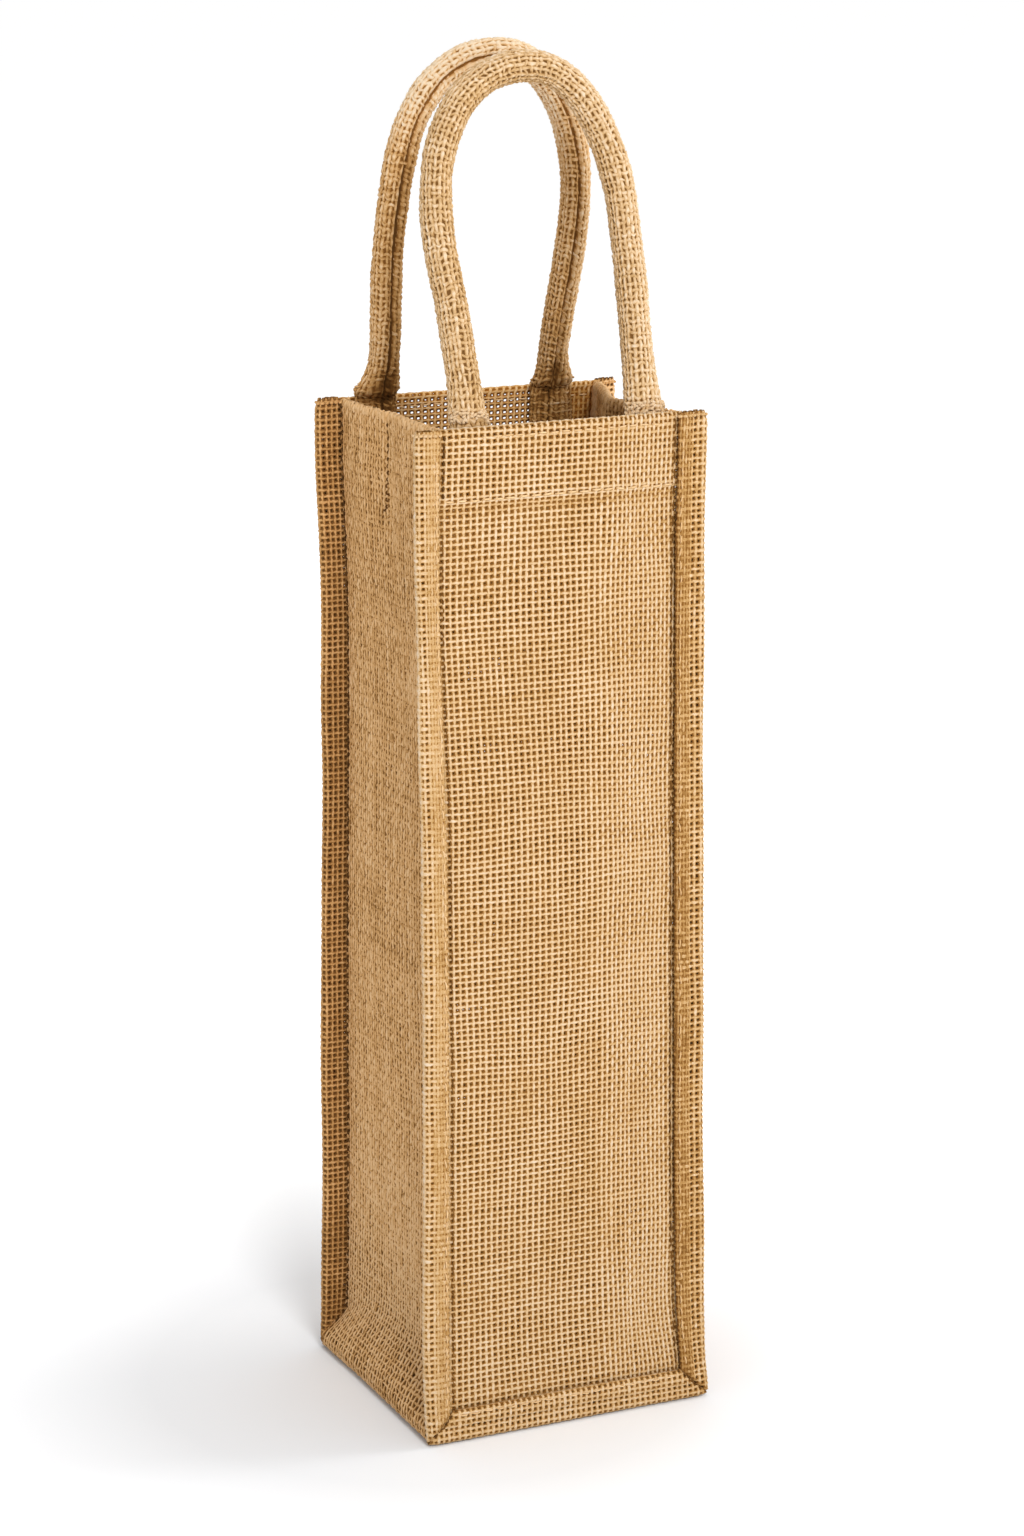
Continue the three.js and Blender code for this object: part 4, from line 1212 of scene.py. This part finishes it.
    # The stuffed core's skin, just under the sleeve's yarns, darkened with painted shade, most along the seam.
    gu, gv = np.meshgrid(
        np.arange(24) * 2 * math.pi / 24 * TUBE, np.linspace(0.5, s[-1] - 0.5, 150), indexing="ij"
    )
    pts = place(gu.ravel(), gv.ravel(), np.full(gu.size, -0.30))
    index = np.arange(gu.size).reshape(gu.shape)
    nxt = np.roll(index, -1, axis=0)
    quads = np.stack([index[:, :-1], nxt[:, :-1], nxt[:, 1:], index[:, 1:]], -1).reshape(-1, 4)
    p = pts[quads]
    normal = np.cross(p[:, 2] - p[:, 0], p[:, 3] - p[:, 1])
    centre = np.stack([at(mid[:, i], gv.ravel()) for i in range(3)], -1) + CENTRE
    flip = (normal * (p[:, 0] - centre[quads[:, 0]])).sum() < 0
    if flip:
        quads = quads[:, ::-1]
    ends = []
    for row, sense in ((0, -1), (-1, 1)):
        ring = index[:, row]
        fan = np.array([(ring[0], ring[i], ring[i + 1]) for i in range(1, len(ring) - 1)])
        q = pts[fan]
        facing = np.cross(q[:, 1] - q[:, 0], q[:, 2] - q[:, 0]).sum(0) @ along[row] * sense
        ends.append(fan if facing > 0 else fan[:, ::-1])
    part.add(
        pts, quads, np.concatenate(ends),
        np.stack([gv.ravel(), gu.ravel() * 0.3, np.full(gu.size, 3.3)], -1),
        tone(gu.ravel(), gv.ravel()) - 1.5 - 4.0 * np.exp(-((turned(gu.ravel() / TUBE, seam) / 0.3) ** 2)),
        np.full(gu.size, -2.0),
    )
    # Yarn that is knotted across each end, at the rim.
    above = np.flatnonzero(z > 351.2)
    knots = np.random.default_rng(seed + 5)
    outward = -math.pi / 2 if panel > 0 else math.pi / 2
    for v in (s[above[0]], s[above[-1]]):
        count = 44
        turns = outward + math.pi + knots.uniform(-1.5, 1.5, count)
        a = np.stack([turns * TUBE, v + knots.uniform(-2.2, 2.2, count)], -1)
        b = a + np.stack([knots.uniform(-1.7, 1.7, count), knots.uniform(-1.3, 1.3, count)], -1)
        # The back handle's knots are darker, with its painted shade.
        stitches(part, place, a, b, seed + 9, radius=0.50 if panel < 0 else 0.42, rise=0.50, tone=1.6 if panel < 0 else -1.2, loose=0.05)
    obj = finish_mesh(name, part, HANDLE if panel < 0 else HANDLE_BACK_SHADED)
    return obj


handle_front = make_handle("handle_front_sleeve", -1, FRONT_LOOP, 0.27, 81)
handle_back = make_handle("handle_back_sleeve", 1, BACK_LOOP, 0.20, 87)
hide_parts("handle_front")
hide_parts("handle_back")

# ------------------------------------------------------------------ stitches
thread = Part()
for place, seed in ((front_place, 101), (back_place, 103)):
    # Under the rim, outside and inside, and along the foot of the hem.
    for v, number in ((PANEL_RIM - 3.6, 0), (PANEL_RIM + 4.6, 1)):
        a, b = row_of(v, -41, 41, 3.0, 1.1, vertical=False)
        stitches(thread, place, a, b, seed + number, radius=0.30, tone=0.8)
    a, b = row_of(HEM_Z + 1.0 - PANEL_FOOT, -41.5, 41.5, 3.4, 1.0, vertical=False)
    stitches(thread, place, a, b, seed + 5, radius=0.34, tone=1.2, loose=0.18)
for panel, seed in ((-1, 107), (1, 113)):
    for side in (-1, 1):
        place = upright_cloth(panel, side)
        a, b = row_of(2.5, 13.5, 345, 3.3, 1.2)
        # The right wraps' thread is darker, with their painted shade.
        stitches(thread, place, a, b, seed + side, radius=0.27, tone=0.4 if side < 0 else -1.2, loose=0.22)
    a, b = row_of(2.7, -41.0, 41.0, 3.3, 1.2)
    stitches(thread, foot_cloth(panel), a, b, seed + 3, radius=0.27, tone=0.4, loose=0.15)
sewing = finish_mesh("seam_thread", thread, THREAD)

# ------------------------------------------------------------------ floor and light
def floor():
    mesh = bpy.data.meshes.new("floor")
    mesh.from_pydata(
        [(-30, -30, -0.0002), (30, -30, -0.0002), (30, 30, -0.0002), (-30, 30, -0.0002)],
        [],
        [(0, 1, 2, 3)],
    )
    obj = bpy.data.objects.new("floor", mesh)
    bpy.context.scene.collection.objects.link(obj)
    mat = bpy.data.materials.new("floor")
    mat.use_nodes = True
    nt = mat.node_tree
    bsdf = nt.nodes["Principled BSDF"]
    bsdf.inputs["Base Color"].default_value = (0.83, 0.845, 0.865, 1)
    bsdf.inputs["Roughness"].default_value = 0.9
    bsdf.inputs["Specular IOR Level"].default_value = 0.0
    # A paper sweep that is lit of its own further off.
    where = nt.nodes.new("ShaderNodeNewGeometry")
    far = nt.nodes.new("ShaderNodeVectorMath")
    far.operation = "LENGTH"
    middle = nt.nodes.new("ShaderNodeVectorMath")
    middle.operation = "SUBTRACT"
    middle.inputs[1].default_value = (-0.03, 0.015, 0.0)
    nt.links.new(where.outputs["Position"], middle.inputs[0])
    nt.links.new(middle.outputs["Vector"], far.inputs[0])
    glow = nt.nodes.new("ShaderNodeMapRange")
    glow.inputs["From Min"].default_value = 0.10
    glow.inputs["From Max"].default_value = 0.27
    glow.inputs["To Min"].default_value = 0.0
    glow.inputs["To Max"].default_value = 0.48
    nt.links.new(far.outputs["Value"], glow.inputs["Value"])
    bsdf.inputs["Emission Color"].default_value = (1, 0.975, 0.945, 1)
    nt.links.new(glow.outputs["Result"], bsdf.inputs["Emission Strength"])
    mesh.materials.append(mat)


floor()


def area(name, place, at, size, power, colour=(1, 1, 1)):
    data = bpy.data.lights.new(name, "AREA")
    data.shape, data.size, data.energy, data.color = "DISK", size, power, colour
    obj = bpy.data.objects.new(name, data)
    bpy.context.scene.collection.objects.link(obj)
    obj.location = place
    obj.rotation_mode = "QUATERNION"
    obj.rotation_quaternion = (Vector(at) - Vector(place)).to_track_quat("-Z", "Y")


area("key", (-0.30, -2.30, 1.75), (0, 0, 0.2), 0.9, 45)
area("top", (0.3, 0.2, 2.6), (0, 0, 0.2), 1.8, 10)
area("right", (2.0, -0.3, 1.0), (0, 0, 0.10), 0.8, 15)
world = bpy.data.worlds.new("studio")
world.use_nodes = True
world.node_tree.nodes["Background"].inputs["Color"].default_value = (1, 1, 1, 1)
world.node_tree.nodes["Background"].inputs["Strength"].default_value = 0.63
bpy.context.scene.world = world
bpy.context.scene.view_settings.view_transform = "Standard"
